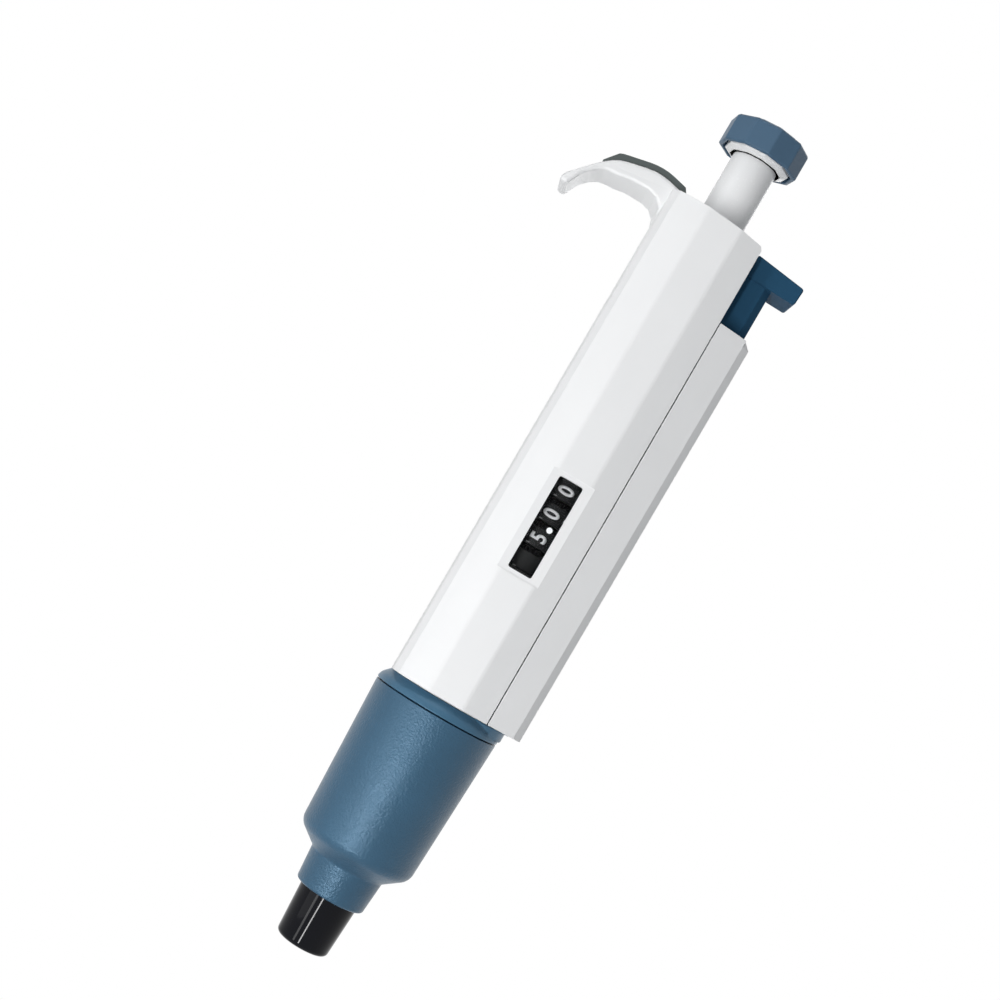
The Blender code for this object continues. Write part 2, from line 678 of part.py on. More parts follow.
def make_main_housing():
    """White moulded handle with the finger hook, counter window and lower spigot."""
    outline = housing_outline()
    bm = bmesh.new()
    low = [bm.verts.new((x, y, BODY_BOTTOM)) for x, y in outline]
    high = [bm.verts.new((x, y, top_height(x))) for x, y in outline]
    for i in range(len(outline)):
        j = (i + 1) % len(outline)
        bm.faces.new((low[i], low[j], high[j], high[i]))
    bm.faces.new(list(reversed(low)))
    bm.faces.new(high)
    housing = place("main_housing", bm, "white_shell")
    reach = BODY_HALF_DEPTH + BODY_WALL
    corner = TOP_CHAMFER
    chamfer = side_profile(
        "chamfer",
        [
            (PARTING_X - corner, top_height(PARTING_X) + corner),
            (PARTING_X - corner, top_height(PARTING_X - corner)),
            (PARTING_X + corner, top_height(PARTING_X) - TOP_CHAMFER_FALL),
            (PARTING_X + corner, top_height(PARTING_X) + corner),
        ],
        lambda x: reach,
    )
    spigot_bottom = CYLINDER_SHOULDER + SEAT_GAP
    spigot = turned(
        "spigot", ring_profile(0.0, HOUSING_SPIGOT_RADIUS, spigot_bottom, BODY_BOTTOM + BODY_WALL)
    )
    beside = box((PARTING_X, -reach, BODY_BOTTOM - SEAT_GAP), (reach, reach, BODY_BOTTOM + 2 * BODY_WALL))
    cut(spigot, beside)
    rib_half = STEM_HALF_WIDTH - BODY_WALL
    ribs = []
    for rib_top in (EJECT_SPRING_BOTTOM - SEAT_GAP, LOWER_RIB_BOTTOM + RIB_THICKNESS):
        ribs.append(
            box(
                (PARTING_X - BODY_WALL / 2, -rib_half, rib_top - RIB_THICKNESS),
                (RIB_RIGHT, rib_half, rib_top),
            )
        )
    cut(housing, chamfer)
    join(housing, spigot, hook_blank(), *ribs)
    cavity = prism("cavity", inset(outline, BODY_WALL), FLOOR_TOP, CEILING)
    guide_radius = GUIDE_RADIUS + SEAT_GAP
    bush_radius = BUSH_RADIUS + SEAT_GAP
    thread_bore = drill(THREAD_RADIUS + SEAT_GAP, spigot_bottom - BODY_WALL, BODY_BOTTOM)
    guide_bore = drill(guide_radius, BODY_BOTTOM - SEAT_GAP, FLOOR_TOP + SEAT_GAP, steps=INNER_STEPS)
    bush_bore = drill(bush_radius, CEILING - SEAT_GAP, BODY_TOP + BODY_WALL, steps=INNER_STEPS)
    rod_bore = drill(
        EJECT_ROD_RADIUS + RUN_GAP, RING_TOP, STEM_BOTTOM, (EJECT_ROD_X, 0.0), PIN_STEPS
    )
    cut(housing, cavity, thread_bore, guide_bore, bush_bore, rod_bore)
    middle = COUNTER_MIDDLE - WINDOW_DROP
    half_z = WINDOW_LENGTH / 2
    face = -BODY_HALF_DEPTH
    recess = box(
        (-BODY_LEFT, face - BODY_WALL, middle - half_z - RECESS_MARGIN),
        (PARTING_X, face + RECESS_DEPTH, middle + half_z + RECESS_MARGIN),
    )
    cut(housing, recess, window_plug(0.0, face - BODY_WALL, face + 2 * BODY_WALL))
    cut(housing, inlay_solid(INLAY_SUNK + SEAT_GAP, 3 * INLAY_PROUD, SEAT_GAP, "pocket"))
    return smooth(housing, 25.0)


def window_plug(shrink, front, back, name="plug", finish=None):
    """A block with the window's rounded outline, between two depths in Y."""
    middle = COUNTER_MIDDLE - WINDOW_DROP
    half_x = WINDOW_WIDTH / 2 - shrink
    half_z = WINDOW_LENGTH / 2 - shrink
    corners = [(-1, -1), (1, -1), (1, 1), (-1, 1)]
    outline = rounded([(i * half_x, middle + k * half_z, WINDOW_ROUND) for i, k in corners], steps=3)
    bm = bmesh.new()
    near = [bm.verts.new((x, front, z)) for x, z in outline]
    far = [bm.verts.new((x, back, z)) for x, z in outline]
    for i in range(len(outline)):
        j = (i + 1) % len(outline)
        bm.faces.new((near[i], near[j], far[j], far[i]))
    bm.faces.new(near)
    bm.faces.new(list(reversed(far)))
    return place(name, bm, finish)


def make_window_lens():
    """Clear lens set into the window, just behind the housing's face."""
    front = -BODY_HALF_DEPTH + RECESS_DEPTH + LENS_SET_BACK
    return window_plug(SEAT_GAP, front, front + LENS_THICKNESS, "window_lens", "clear_lens")


def make_hook_inlay():
    """Soft grey grip let into the back of the finger hook."""
    return smooth(inlay_solid(INLAY_SUNK, INLAY_PROUD, 0.0, "hook_inlay", "grip_grey"))


def make_ejector_cover():
    """White shell over the ejector's rod, open towards the housing."""
    outline = cover_outline()
    bottom_outline = cover_outline(-COVER_TAPER)
    step = COVER_TOP_CHAMFER
    top_outline = [(min(x, COVER_RIGHT - step), y) for x, y in outline]
    cover = loft(
        "ejector_cover",
        [(BODY_BOTTOM, bottom_outline), (COVER_TOP - step, outline), (COVER_TOP, top_outline)],
        "white_shell",
    )
    open_left = COVER_LEFT - 2 * COVER_WALL
    hollow = loft(
        "hollow",
        [
            (BODY_BOTTOM + COVER_WALL, inset(cover_outline(-COVER_TAPER, open_left), COVER_WALL)),
            (COVER_TOP - COVER_WALL - step, inset(cover_outline(0.0, open_left), COVER_WALL)),
        ],
    )
    slot_bottom = COVER_TOP - 3 * COVER_WALL - step
    stem_slot = prism("slot", stem_outline(RUN_GAP), slot_bottom, COVER_TOP + COVER_WALL)
    tab_slot = box(
        (COVER_LEFT - BODY_WALL, -TAB_HALF_WIDTH - RUN_GAP, BODY_BOTTOM - COVER_WALL),
        (TAB_RIGHT + RUN_GAP, TAB_HALF_WIDTH + RUN_GAP, BODY_BOTTOM + 2 * COVER_WALL),
    )
    return smooth(cut(cover, hollow, stem_slot, tab_slot), 15.0)


def make_top_bush():
    """Bearing for the plunger tube in the housing's top."""
    low = CEILING - BUSH_FLANGE_HEIGHT
    seat = top_height(BUSH_RADIUS + SEAT_GAP) - SEAT_GAP
    flange = BUSH_RADIUS + BUSH_FLANGE
    wiper = BUSH_BORE_RADIUS + WIPER_WIDTH + SEAT_GAP
    profile = [
        (BUSH_BORE_RADIUS, low),
        (flange, low),
        (flange, CEILING - SEAT_GAP),
        (BUSH_RADIUS, CEILING - SEAT_GAP),
        (BUSH_RADIUS, seat),
        (wiper, seat),
        (wiper, seat - WIPER_HEIGHT - SEAT_GAP),
        (BUSH_BORE_RADIUS, seat - WIPER_HEIGHT - SEAT_GAP),
    ]
    return smooth(turned("top_bush", profile, "inner_grey", steps=INNER_STEPS))


def make_tube_wiper():
    """Rubber ring that wipes the plunger tube."""
    seat = top_height(BUSH_RADIUS + SEAT_GAP) - SEAT_GAP
    inner = BUSH_BORE_RADIUS
    profile = ring_profile(inner, inner + WIPER_WIDTH, seat - WIPER_HEIGHT, seat)
    return smooth(turned("tube_wiper", profile, "seal_rubber", steps=INNER_STEPS))


def make_nozzle():
    """Glossy black cone that takes the tip, with a threaded spigot above."""
    profile = rounded(
        [
            (FILTER_RADIUS + SEAT_GAP, 0.0, 0.0),
            (NOZZLE_END_RADIUS, 0.0, NOZZLE_EDGE),
            (NOZZLE_RADIUS, NOZZLE_SHOWING, 0.0),
            (NOZZLE_RADIUS, NOZZLE_SHOULDER, 0.0),
            (SPIGOT_RADIUS, NOZZLE_SHOULDER, 0.0),
            (SPIGOT_RADIUS, NOZZLE_SHOULDER + SPIGOT_LENGTH, 0.0),
            (AIR_BORE_RADIUS, NOZZLE_SHOULDER + SPIGOT_LENGTH, 0.0),
            (AIR_BORE_RADIUS, FILTER_LENGTH + SEAT_GAP, 0.0),
            (FILTER_RADIUS + SEAT_GAP, FILTER_LENGTH + SEAT_GAP, 0.0),
        ]
    )
    return smooth(turned("nozzle", profile, "black_nozzle"))


def make_nozzle_filter():
    """White porous plug that keeps liquid out of the cylinder."""
    profile = [(0.0, 0.0), (FILTER_RADIUS, 0.0), (FILTER_RADIUS, FILTER_LENGTH), (0.0, FILTER_LENGTH)]
    return smooth(turned("nozzle_filter", profile, "frit_white", steps=SMALL_STEPS))


def make_cylinder():
    """Polished barrel of the air pump, screwed into the housing's spigot."""
    cone_top = CYLINDER_BORE_BOTTOM - CYLINDER_WALL
    profile = [
        (SPIGOT_RADIUS + SEAT_GAP, CYLINDER_BOTTOM),
        (NOZZLE_RADIUS, CYLINDER_BOTTOM),
        (CYLINDER_RADIUS, cone_top),
        (CYLINDER_RADIUS, CYLINDER_SHOULDER),
        (THREAD_RADIUS, CYLINDER_SHOULDER),
        (THREAD_RADIUS, CYLINDER_TOP - SEAT_GAP),
        (CYLINDER_BORE_RADIUS, CYLINDER_TOP - SEAT_GAP),
        (CYLINDER_BORE_RADIUS, CYLINDER_BORE_BOTTOM),
        (AIR_BORE_RADIUS, CYLINDER_FLOOR + SEAT_GAP),
        (AIR_BORE_RADIUS, CYLINDER_FLOOR),
        (SPIGOT_RADIUS + SEAT_GAP, CYLINDER_FLOOR),
    ]
    return smooth(turned("cylinder", profile, "inner_grey", steps=INNER_STEPS))


def make_piston():
    """Plastic piston with a groove for its seal."""
    groove_low = PISTON_BOTTOM + PISTON_HEIGHT / 2 - SEAL_HEIGHT / 2 - SEAT_GAP
    groove_high = groove_low + SEAL_HEIGHT + 2 * SEAT_GAP
    groove_radius = PISTON_RADIUS - SEAL_DEPTH
    profile = [
        (0.0, PISTON_BOTTOM),
        (PISTON_RADIUS / 2, PISTON_BOTTOM + SEAT_GAP),
        (PISTON_RADIUS - SEAT_GAP, PISTON_BOTTOM + SEAL_HEIGHT),
        (PISTON_RADIUS - SEAT_GAP, groove_low),
        (groove_radius, groove_low),
        (groove_radius, groove_high),
        (PISTON_RADIUS - SEAT_GAP, groove_high),
        (PISTON_RADIUS - SEAT_GAP, PISTON_TOP),
        (0.0, PISTON_TOP),
    ]
    return smooth(turned("piston", profile, "frit_white", steps=INNER_STEPS))


def make_piston_seal():
    """Rubber ring in the piston's groove."""
    low = PISTON_BOTTOM + PISTON_HEIGHT / 2 - SEAL_HEIGHT / 2
    inner = PISTON_RADIUS - SEAL_DEPTH + SEAT_GAP
    profile = ring_profile(inner, PISTON_RADIUS, low, low + SEAL_HEIGHT)
    return smooth(turned("piston_seal", profile, "seal_rubber", steps=INNER_STEPS))


def make_piston_rod():
    """Steel rod from the piston up to the thrust collar."""
    shoulder = COLLAR_BOTTOM - SEAT_GAP
    profile = [
        (0.0, PISTON_TOP + SEAT_GAP),
        (ROD_RADIUS, PISTON_TOP + SEAT_GAP),
        (ROD_RADIUS, shoulder),
        (ROD_NECK_RADIUS, shoulder),
        (ROD_NECK_RADIUS, COLLAR_TOP),
        (0.0, COLLAR_TOP),
    ]
    return smooth(turned("piston_rod", profile, "steel", steps=SMALL_STEPS))


def make_thrust_collar():
    """Collar that meets the blow-out disc at the end of the first stroke."""
    inner = ROD_NECK_RADIUS + SEAT_GAP
    profile = ring_profile(inner, COLLAR_RADIUS, COLLAR_BOTTOM, COLLAR_TOP)
    return smooth(turned("thrust_collar", profile, "brass", steps=SMALL_STEPS))


def make_rod_guide():
    """Flanged bearing for the piston rod in the housing's floor."""
    flange_low = FLOOR_TOP + SEAT_GAP
    bore = ROD_RADIUS + RUN_GAP
    profile = [
        (bore, BODY_BOTTOM),
        (GUIDE_RADIUS, BODY_BOTTOM),
        (GUIDE_RADIUS, flange_low),
        (GUIDE_FLANGE_RADIUS, flange_low),
        (GUIDE_FLANGE_RADIUS, GUIDE_TOP),
        (bore, GUIDE_TOP),
    ]
    return smooth(turned("rod_guide", profile, "inner_grey", steps=SMALL_STEPS))


def make_blowout_spring():
    """Stiff spring inside the cup, felt only past the first stop."""
    radius, wire = BLOWOUT_SPRING_RADIUS, BLOWOUT_WIRE_RADIUS
    return coil("blowout_spring", radius, wire, BLOWOUT_SPRING_BOTTOM, BLOWOUT_SPRING_TOP, BLOWOUT_TURNS)


def make_blowout_cup():
    """Hat-shaped cup: its crown is the first stop, its brim carries the main spring."""
    outer = CUP_BORE_RADIUS + CUP_WALL
    bore = ROD_RADIUS + RUN_GAP
    profile = [
        (CUP_BORE_RADIUS, BRIM_BOTTOM),
        (BRIM_RADIUS, BRIM_BOTTOM),
        (BRIM_RADIUS, BRIM_TOP),
        (outer, BRIM_TOP),
        (outer, CUP_CROWN),
        (bore, CUP_CROWN),
        (bore, CUP_CROWN - CUP_TOP),
        (CUP_BORE_RADIUS, CUP_CROWN - CUP_TOP),
    ]
    return smooth(turned("blowout_cup", profile, "brass", steps=INNER_STEPS))


def make_main_spring():
    """Soft spring of the first stroke, between the cup's brim and the collar."""
    top = MAIN_SPRING_BOTTOM + MAIN_SPRING_LENGTH
    return coil("main_spring", MAIN_SPRING_RADIUS, MAIN_WIRE_RADIUS, MAIN_SPRING_BOTTOM, top, MAIN_TURNS)


def make_stop_plate():
    """Plate across the housing that the cup's brim rests up against."""
    outline = inset(housing_outline(), BODY_WALL + SEAT_GAP)
    top = STOP_PLATE_BOTTOM + STOP_PLATE_HEIGHT
    plate = prism("stop_plate", outline, STOP_PLATE_BOTTOM, top, "inner_grey")
    radius = MAIN_SPRING_RADIUS + MAIN_WIRE_RADIUS + SEAT_GAP
    hole = drill(radius, STOP_PLATE_BOTTOM - OVERRUN, top + OVERRUN, steps=INNER_STEPS)
    return smooth(cut(plate, hole), 20.0)


def make_counter_frame():
    """Two plates joined by struts, with a dark shroud between window and wheels."""
    outline = inset(housing_outline(), BODY_WALL + SEAT_GAP)
    frame = prism("counter_frame", outline, FRAME_BOTTOM, COUNTER_FLOOR, "counter_black")
    upper = prism("plate", outline, COUNTER_CEILING, FRAME_TOP)
    inner = WHEEL_RADIUS + RUN_GAP
    struts = []
    for first, last in STRUT_ARCS:
        sector = []
        for radius, order in ((inner + STRUT_THICKNESS, (0, 0.5, 1)), (inner, (1, 0.5, 0))):
            for share in order:
                angle = math.radians(first + (last - first) * share)
                sector.append((radius * math.cos(angle), radius * math.sin(angle)))
        struts.append(prism("strut", sector, FRAME_BOTTOM + SEAT_GAP, FRAME_TOP - SEAT_GAP))
    near = WINDOW_WIDTH / 2 + RUN_GAP
    far = near + SHROUD_WALL
    front = -BODY_HALF_DEPTH + BODY_WALL + 2 * SEAT_GAP
    back = -math.sqrt(inner**2 - near**2)
    for left, right in ((-far, -near), (near, far)):
        struts.append(box((left, front, FRAME_BOTTOM + SEAT_GAP), (right, back, FRAME_TOP - SEAT_GAP)))
    join(frame, upper, *struts)
    low = FRAME_BOTTOM - OVERRUN
    high = FRAME_TOP + OVERRUN
    bore = drill(SLEEVE_SHAFT_RADIUS + RUN_GAP, low, high, steps=SMALL_STEPS)
    pins = drill(PINION_SHAFT_RADIUS + SEAT_GAP, low, high, (0.0, PINION_Y), PIN_STEPS)
    return smooth(cut(frame, bore, pins), 20.0)


def make_drive_sleeve():
    """Sleeve with a hexagonal bore, turned by the spindle, that carries the wheels."""
    profile = ring_profile(0.0, SLEEVE_SHAFT_RADIUS, FRAME_BOTTOM, FRAME_TOP)
    sleeve = turned("drive_sleeve", profile, "counter_black", steps=SMALL_STEPS)
    bore = prism("bore", hexagon(SPINDLE_SLIDE_FLATS), FRAME_BOTTOM - OVERRUN, FRAME_TOP + OVERRUN)
    return smooth(cut(sleeve, bore))


def make_wheel(name, place_in_row, driven):
    """Number drum; a driven one has a toothed ring on its upper side."""
    middle = COUNTER_MIDDLE + (place_in_row - 1.5) * WHEEL_PITCH
    drum_low = middle - DRUM_WIDTH / 2
    drum_high = middle + DRUM_WIDTH / 2
    hub_top = drum_low + WHEEL_HUB
    hub_radius = WHEEL_PITCH_RADIUS - 2 * TOOTH_DEDENDUM
    profile = [
        (0.0, drum_low),
        (WHEEL_RADIUS, drum_low),
        (WHEEL_RADIUS, drum_high),
        (hub_radius, drum_high),
        (hub_radius, hub_top),
        (0.0, hub_top),
    ]
    wheel = turned(name, profile, "counter_black", steps=WHEEL_STEPS)
    if driven:
        teeth = gear_outline(WHEEL_TEETH, WHEEL_PITCH_RADIUS, 90.0 + 180.0 / WHEEL_TEETH)
        join(wheel, prism("teeth", teeth, drum_high - SEAT_GAP, drum_high + GEAR_WIDTH))
    bore_radius = SLEEVE_SHAFT_RADIUS + SEAT_GAP
    bore = drill(bore_radius, drum_low - OVERRUN, hub_top + OVERRUN, steps=SMALL_STEPS)
    return smooth(cut(wheel, bore), 20.0)


def make_pinion(name, place_in_row):
    """Carry pinion beside the toothed ring of the wheel that it drives."""
    middle = COUNTER_MIDDLE + (place_in_row - 1.5) * WHEEL_PITCH
    low = middle + DRUM_WIDTH / 2 + SEAT_GAP
    high = middle + WHEEL_PITCH - DRUM_WIDTH / 2 - SEAT_GAP
    outline = gear_outline(PINION_TEETH, PINION_PITCH_RADIUS, -90.0)
    pinion = prism(name, [(x, y + PINION_Y) for x, y in outline], low, high, "frit_white")
    bore_radius = PINION_SHAFT_RADIUS + SEAT_GAP
    bore = drill(bore_radius, low - OVERRUN, high + OVERRUN, (0.0, PINION_Y), PIN_STEPS)
    return smooth(cut(pinion, bore), 20.0)


def make_pinion_shaft():
    profile = ring_profile(0.0, PINION_SHAFT_RADIUS, FRAME_BOTTOM, FRAME_TOP)
    return smooth(turned("pinion_shaft", profile, "steel", (0.0, PINION_Y), PIN_STEPS))


def make_spindle():
    """Hexagonal rod that turns the counter and slides through it."""
    spindle = prism("spindle", hexagon(SPINDLE_ACROSS_FLATS), SPINDLE_BOTTOM, TUBE_BOTTOM, "steel")
    plug_radius = TUBE_RADIUS - TUBE_WALL - SEAT_GAP
    plug = drill(plug_radius, TUBE_BOTTOM - SEAT_GAP, TUBE_BOTTOM + SPINDLE_PLUG, steps=SMALL_STEPS)
    return smooth(join(spindle, plug))


def make_plunger_tube():
    """White tube from the knob down to the spring flange, with two driving flats."""
    profile = [
        (TUBE_RADIUS - TUBE_WALL, TUBE_BOTTOM),
        (TUBE_FLANGE_RADIUS, TUBE_BOTTOM),
        (TUBE_FLANGE_RADIUS, TUBE_FLANGE_TOP),
        (TUBE_RADIUS, TUBE_FLANGE_TOP),
        (TUBE_RADIUS, TUBE_TOP),
        (TUBE_RADIUS - TUBE_WALL, TUBE_TOP),
    ]
    tube = turned("plunger_tube", profile, "white_shell", steps=INNER_STEPS)
    flat_top = SCREW_BOTTOM + SCREW_DOG_LENGTH + TOTAL_STROKE + SEAT_GAP
    flat_x = TUBE_RADIUS - TUBE_FLAT_DEPTH
    reach = TUBE_RADIUS + SEAT_GAP
    for side in (-1, 1):
        ends = sorted((side * flat_x, side * reach))
        cut(tube, box((ends[0], -reach, TUBE_FLANGE_TOP + SEAT_GAP), (ends[1], reach, flat_top)))
    return smooth(tube)


def make_setting_screw():
    """Hollow screw, turned by the tube's flats, whose lower end stops the flange."""
    dog_top = SCREW_BOTTOM + SCREW_DOG_LENGTH
    profile = ring_profile(SCREW_BORE_RADIUS, SCREW_RADIUS, SCREW_BOTTOM, SCREW_TOP)
    screw = turned("setting_screw", profile, "brass", steps=INNER_STEPS)
    dog_x = TUBE_RADIUS - TUBE_FLAT_DEPTH + RUN_GAP
    mid = (SCREW_BORE_RADIUS + SCREW_RADIUS) / 2
    for side in (-1, 1):
        ends = sorted((side * dog_x, side * mid))
        half = math.sqrt(SCREW_BORE_RADIUS**2 - dog_x**2) + SEAT_GAP
        dog = box((ends[0], -half, SCREW_BOTTOM + SEAT_GAP), (ends[1], half, dog_top))
        join(screw, dog)
    return smooth(screw)


def make_setting_nut():
    """Nut keyed into the housing, in which the setting screw turns."""
    outline = inset(housing_outline(), BODY_WALL + SEAT_GAP)
    top = NUT_BOTTOM + NUT_HEIGHT
    nut = prism("setting_nut", outline, NUT_BOTTOM, top, "inner_grey")
    bore = drill(SCREW_RADIUS + SEAT_GAP, NUT_BOTTOM - OVERRUN, top + OVERRUN, steps=INNER_STEPS)
    return smooth(cut(nut, bore), 20.0)


def make_knob_ring():
    """Dark grip ring with flat sides round the knob."""
    outer = polygon(KNOB_SIDES, KNOB_RADIUS, KNOB_TURN)
    eased = polygon(KNOB_SIDES, KNOB_RADIUS - KNOB_EDGE, KNOB_TURN)
    bore = polygon(KNOB_SIDES, KNOB_RADIUS - KNOB_WALL, KNOB_TURN)
    ring = loft(
        "knob_ring",
        [
            (KNOB_BOTTOM, eased),
            (KNOB_BOTTOM + KNOB_EDGE / 2, outer),
            (KNOB_TOP - KNOB_EDGE, outer),
            (KNOB_TOP, eased),
        ],
        "slate_blue",
    )
    hole = prism("hole", bore, KNOB_BOTTOM - OVERRUN, KNOB_TOP + OVERRUN)
    return smooth(cut(ring, hole), 15.0)


def make_knob_core():
    """White cup inside the grip ring, fixed on the plunger tube."""
    radius = KNOB_RADIUS - KNOB_WALL - SEAT_GAP
    recess_radius = TUBE_RADIUS + 2 * RUN_GAP
    recess_top = KNOB_BOTTOM + KNOB_RECESS
    wide = polygon(KNOB_SIDES, radius, KNOB_TURN)
    narrow = polygon(KNOB_SIDES, radius - KNOB_GROOVE, KNOB_TURN)
    lip = polygon(KNOB_SIDES, recess_radius + 2 * SEAT_GAP, KNOB_TURN)
    core = loft(
        "knob_core",
        [
            (KNOB_BOTTOM - KNOB_LIP, lip),
            (KNOB_BOTTOM, narrow),
            (recess_top, narrow),
            (recess_top, wide),
            (CORE_TOP, wide),
        ],
        "white_shell",
    )
    recess = drill(recess_radius, KNOB_BOTTOM - 2 * KNOB_LIP, recess_top, steps=INNER_STEPS)
    socket = drill(TUBE_RADIUS + SEAT_GAP, KNOB_BOTTOM, TUBE_TOP + SEAT_GAP, steps=INNER_STEPS)
    return smooth(cut(core, recess, socket), 20.0)


def make_knob_cap():
    """Low domed cap that closes the knob."""
    radius = KNOB_RADIUS - KNOB_WALL - SEAT_GAP
    outline = polygon(KNOB_SIDES, radius, KNOB_TURN)
    levels = [(CORE_TOP + SEAT_GAP, outline), (KNOB_TOP, outline)]
    for angle in CAP_ARC:
        rise = CAP_CROWN * math.sin(math.radians(angle)) / math.sin(math.radians(CAP_ARC[-1]))
        shrunk = polygon(KNOB_SIDES, radius * math.cos(math.radians(angle)), KNOB_TURN)
        levels.append((KNOB_TOP + rise, shrunk))
    return smooth(loft("knob_cap", levels, "slate_blue"), 40.0)


def make_ejector_sleeve():
    """Blue-grey sleeve round the cylinder, whose neck pushes the tip off."""
    neck_bore = NOZZLE_RADIUS + RUN_GAP
    neck = neck_bore + NECK_WALL
    neck_top = SLEEVE_BOTTOM + NECK_LENGTH
    shoulder_z = neck_top + (SHOULDER_RADIUS - neck - NECK_FLARE) * SHOULDER_SLOPE
    profile = rounded(
        [
            (neck_bore, SLEEVE_BOTTOM, 0.0),
            (neck, SLEEVE_BOTTOM, NECK_ROUND),
            (neck + NECK_FLARE, neck_top, 0.0),
            (SHOULDER_RADIUS, shoulder_z, SHOULDER_ROUND),
            (SLEEVE_RADIUS, SLEEVE_TOP, 0.0),
            (SLEEVE_BORE_RADIUS, SLEEVE_TOP, 0.0),
            (SHOULDER_RADIUS - SLEEVE_WALL, shoulder_z + SHOULDER_RISE_INSIDE, 0.0),
            (neck_bore + NECK_FLARE / 2, neck_top + NECK_RISE_INSIDE, 0.0),
        ],
    )
    return smooth(turned("ejector_sleeve", profile, "slate_blue"), 40.0)


def land_outline():
    """Section of the ring's thicker side, an arc about a centre nearer to the rod."""
    reach = RING_RADIUS + LAND_STEP - LAND_X
    inner_radius = RING_BORE_RADIUS + SEAT_GAP
    outer, inner = [], []
    for k in range(-LAND_STEPS, LAND_STEPS + 1):
        angle = math.radians(LAND_SPREAD) * k / LAND_STEPS
        spot = Vector((LAND_X + reach * math.cos(angle), reach * math.sin(angle)))
        outer.append(tuple(spot))
        inner.append(tuple(spot.normalized() * inner_radius))
    return outer + list(reversed(inner))


def make_ejector_ring():
    """Collar at the top of the sleeve, with the tab that the ejector rod pushes."""
    low = RING_BOTTOM - LIP_LENGTH
    profile = rounded(
        [
            (RING_BORE_RADIUS, low, 0.0),
            (LIP_RADIUS, low, 0.0),
            (LIP_RADIUS, RING_BOTTOM, 0.0),
            (RING_RADIUS, RING_BOTTOM, 0.0),
            (RING_RADIUS - RING_DRAFT, RING_BOTTOM + RING_FLANK, RING_ROUND),
            (RING_RADIUS - RING_SHOULDER, RING_TOP, 0.0),
            (RING_BORE_RADIUS, RING_TOP, 0.0),
        ],
    )
    ring = turned("ejector_ring", profile, "slate_blue")
    land = prism("land", land_outline(), RING_BOTTOM + LAND_RISE, RING_TOP)
    tab_top = RING_TOP + TAB_HEIGHT
    tab = box(
        (TAB_LEFT, -TAB_HALF_WIDTH, RING_TOP - SEAT_GAP),
        (TAB_RIGHT, TAB_HALF_WIDTH, tab_top),
    )
    join(ring, land, tab)
    hole_radius = EJECT_ROD_RADIUS + SEAT_GAP
    place_of_rod = (EJECT_ROD_X, 0.0)
    hole = drill(hole_radius, RING_TOP + TAB_WALL, tab_top + OVERRUN, place_of_rod, PIN_STEPS)
    clear = drill(RING_BORE_RADIUS, RING_TOP - OVERRUN, tab_top + OVERRUN)
    return smooth(cut(ring, hole, clear), 40.0)


def make_ejector_rod():
    """Steel rod from the thumb button down to the ring."""
    low = RING_TOP + TAB_WALL + SEAT_GAP
    high = STEM_BOTTOM + STEM_SOCKET - SEAT_GAP
    profile = ring_profile(0.0, EJECT_ROD_RADIUS, low, high)
    return smooth(turned("ejector_rod", profile, "steel", (EJECT_ROD_X, 0.0), PIN_STEPS))


def make_ejector_spring():
    top = EJECT_SPRING_BOTTOM + EJECT_SPRING_LENGTH
    return coil(
        "ejector_spring",
        EJECT_SPRING_RADIUS,
        EJECT_WIRE_RADIUS,
        EJECT_SPRING_BOTTOM,
        top,
        EJECT_TURNS,
        (EJECT_ROD_X, 0.0),
    )


def make_ejector_button():
    """Dark thumb button: a stem that slides into the cover, and a sloping pad."""
    button = prism("ejector_button", stem_outline(), STEM_BOTTOM, PAD_BOTTOM + PAD_EDGE, "dark_blue")
    right = STEM_LEFT + PAD_REACH
    outline = rounded(
        [
            (STEM_LEFT, PAD_BOTTOM, 0.0),
            (right - PAD_UNDERCUT, PAD_BOTTOM - PAD_SAG, PAD_EDGE),
            (right, PAD_BOTTOM + PAD_HEIGHT - PAD_FALL, PAD_EDGE),
            (STEM_LEFT, PAD_BOTTOM + PAD_HEIGHT, 0.0),
        ],
        steps=3,
    )
    pad = side_profile("pad", outline, lambda x: PAD_HALF_WIDTH)
    join(button, round_edges(pad, PAD_EDGE / 2, angle=60.0))
    socket_radius = EJECT_ROD_RADIUS + SEAT_GAP
    socket_top = STEM_BOTTOM + STEM_SOCKET
    socket = drill(socket_radius, STEM_BOTTOM - OVERRUN, socket_top, (EJECT_ROD_X, 0.0), PIN_STEPS)
    return smooth(cut(button, socket), 25.0)


def carry(name, origin, members, parent=None):
    """Hang the pieces of one moving group on an empty that lies on its joint's axis."""
    group = bpy.data.objects.new(name, None)
    group.empty_display_size = 5 * MM
    bpy.context.collection.objects.link(group)
    group.location = origin
    if parent:
        group.parent = parent
        group.location = Vector(origin) - parent.matrix_world.translation
    bpy.context.view_layer.update()
    for member in members:
        member.parent = group
        member.matrix_parent_inverse = group.matrix_world.inverted()
    return group


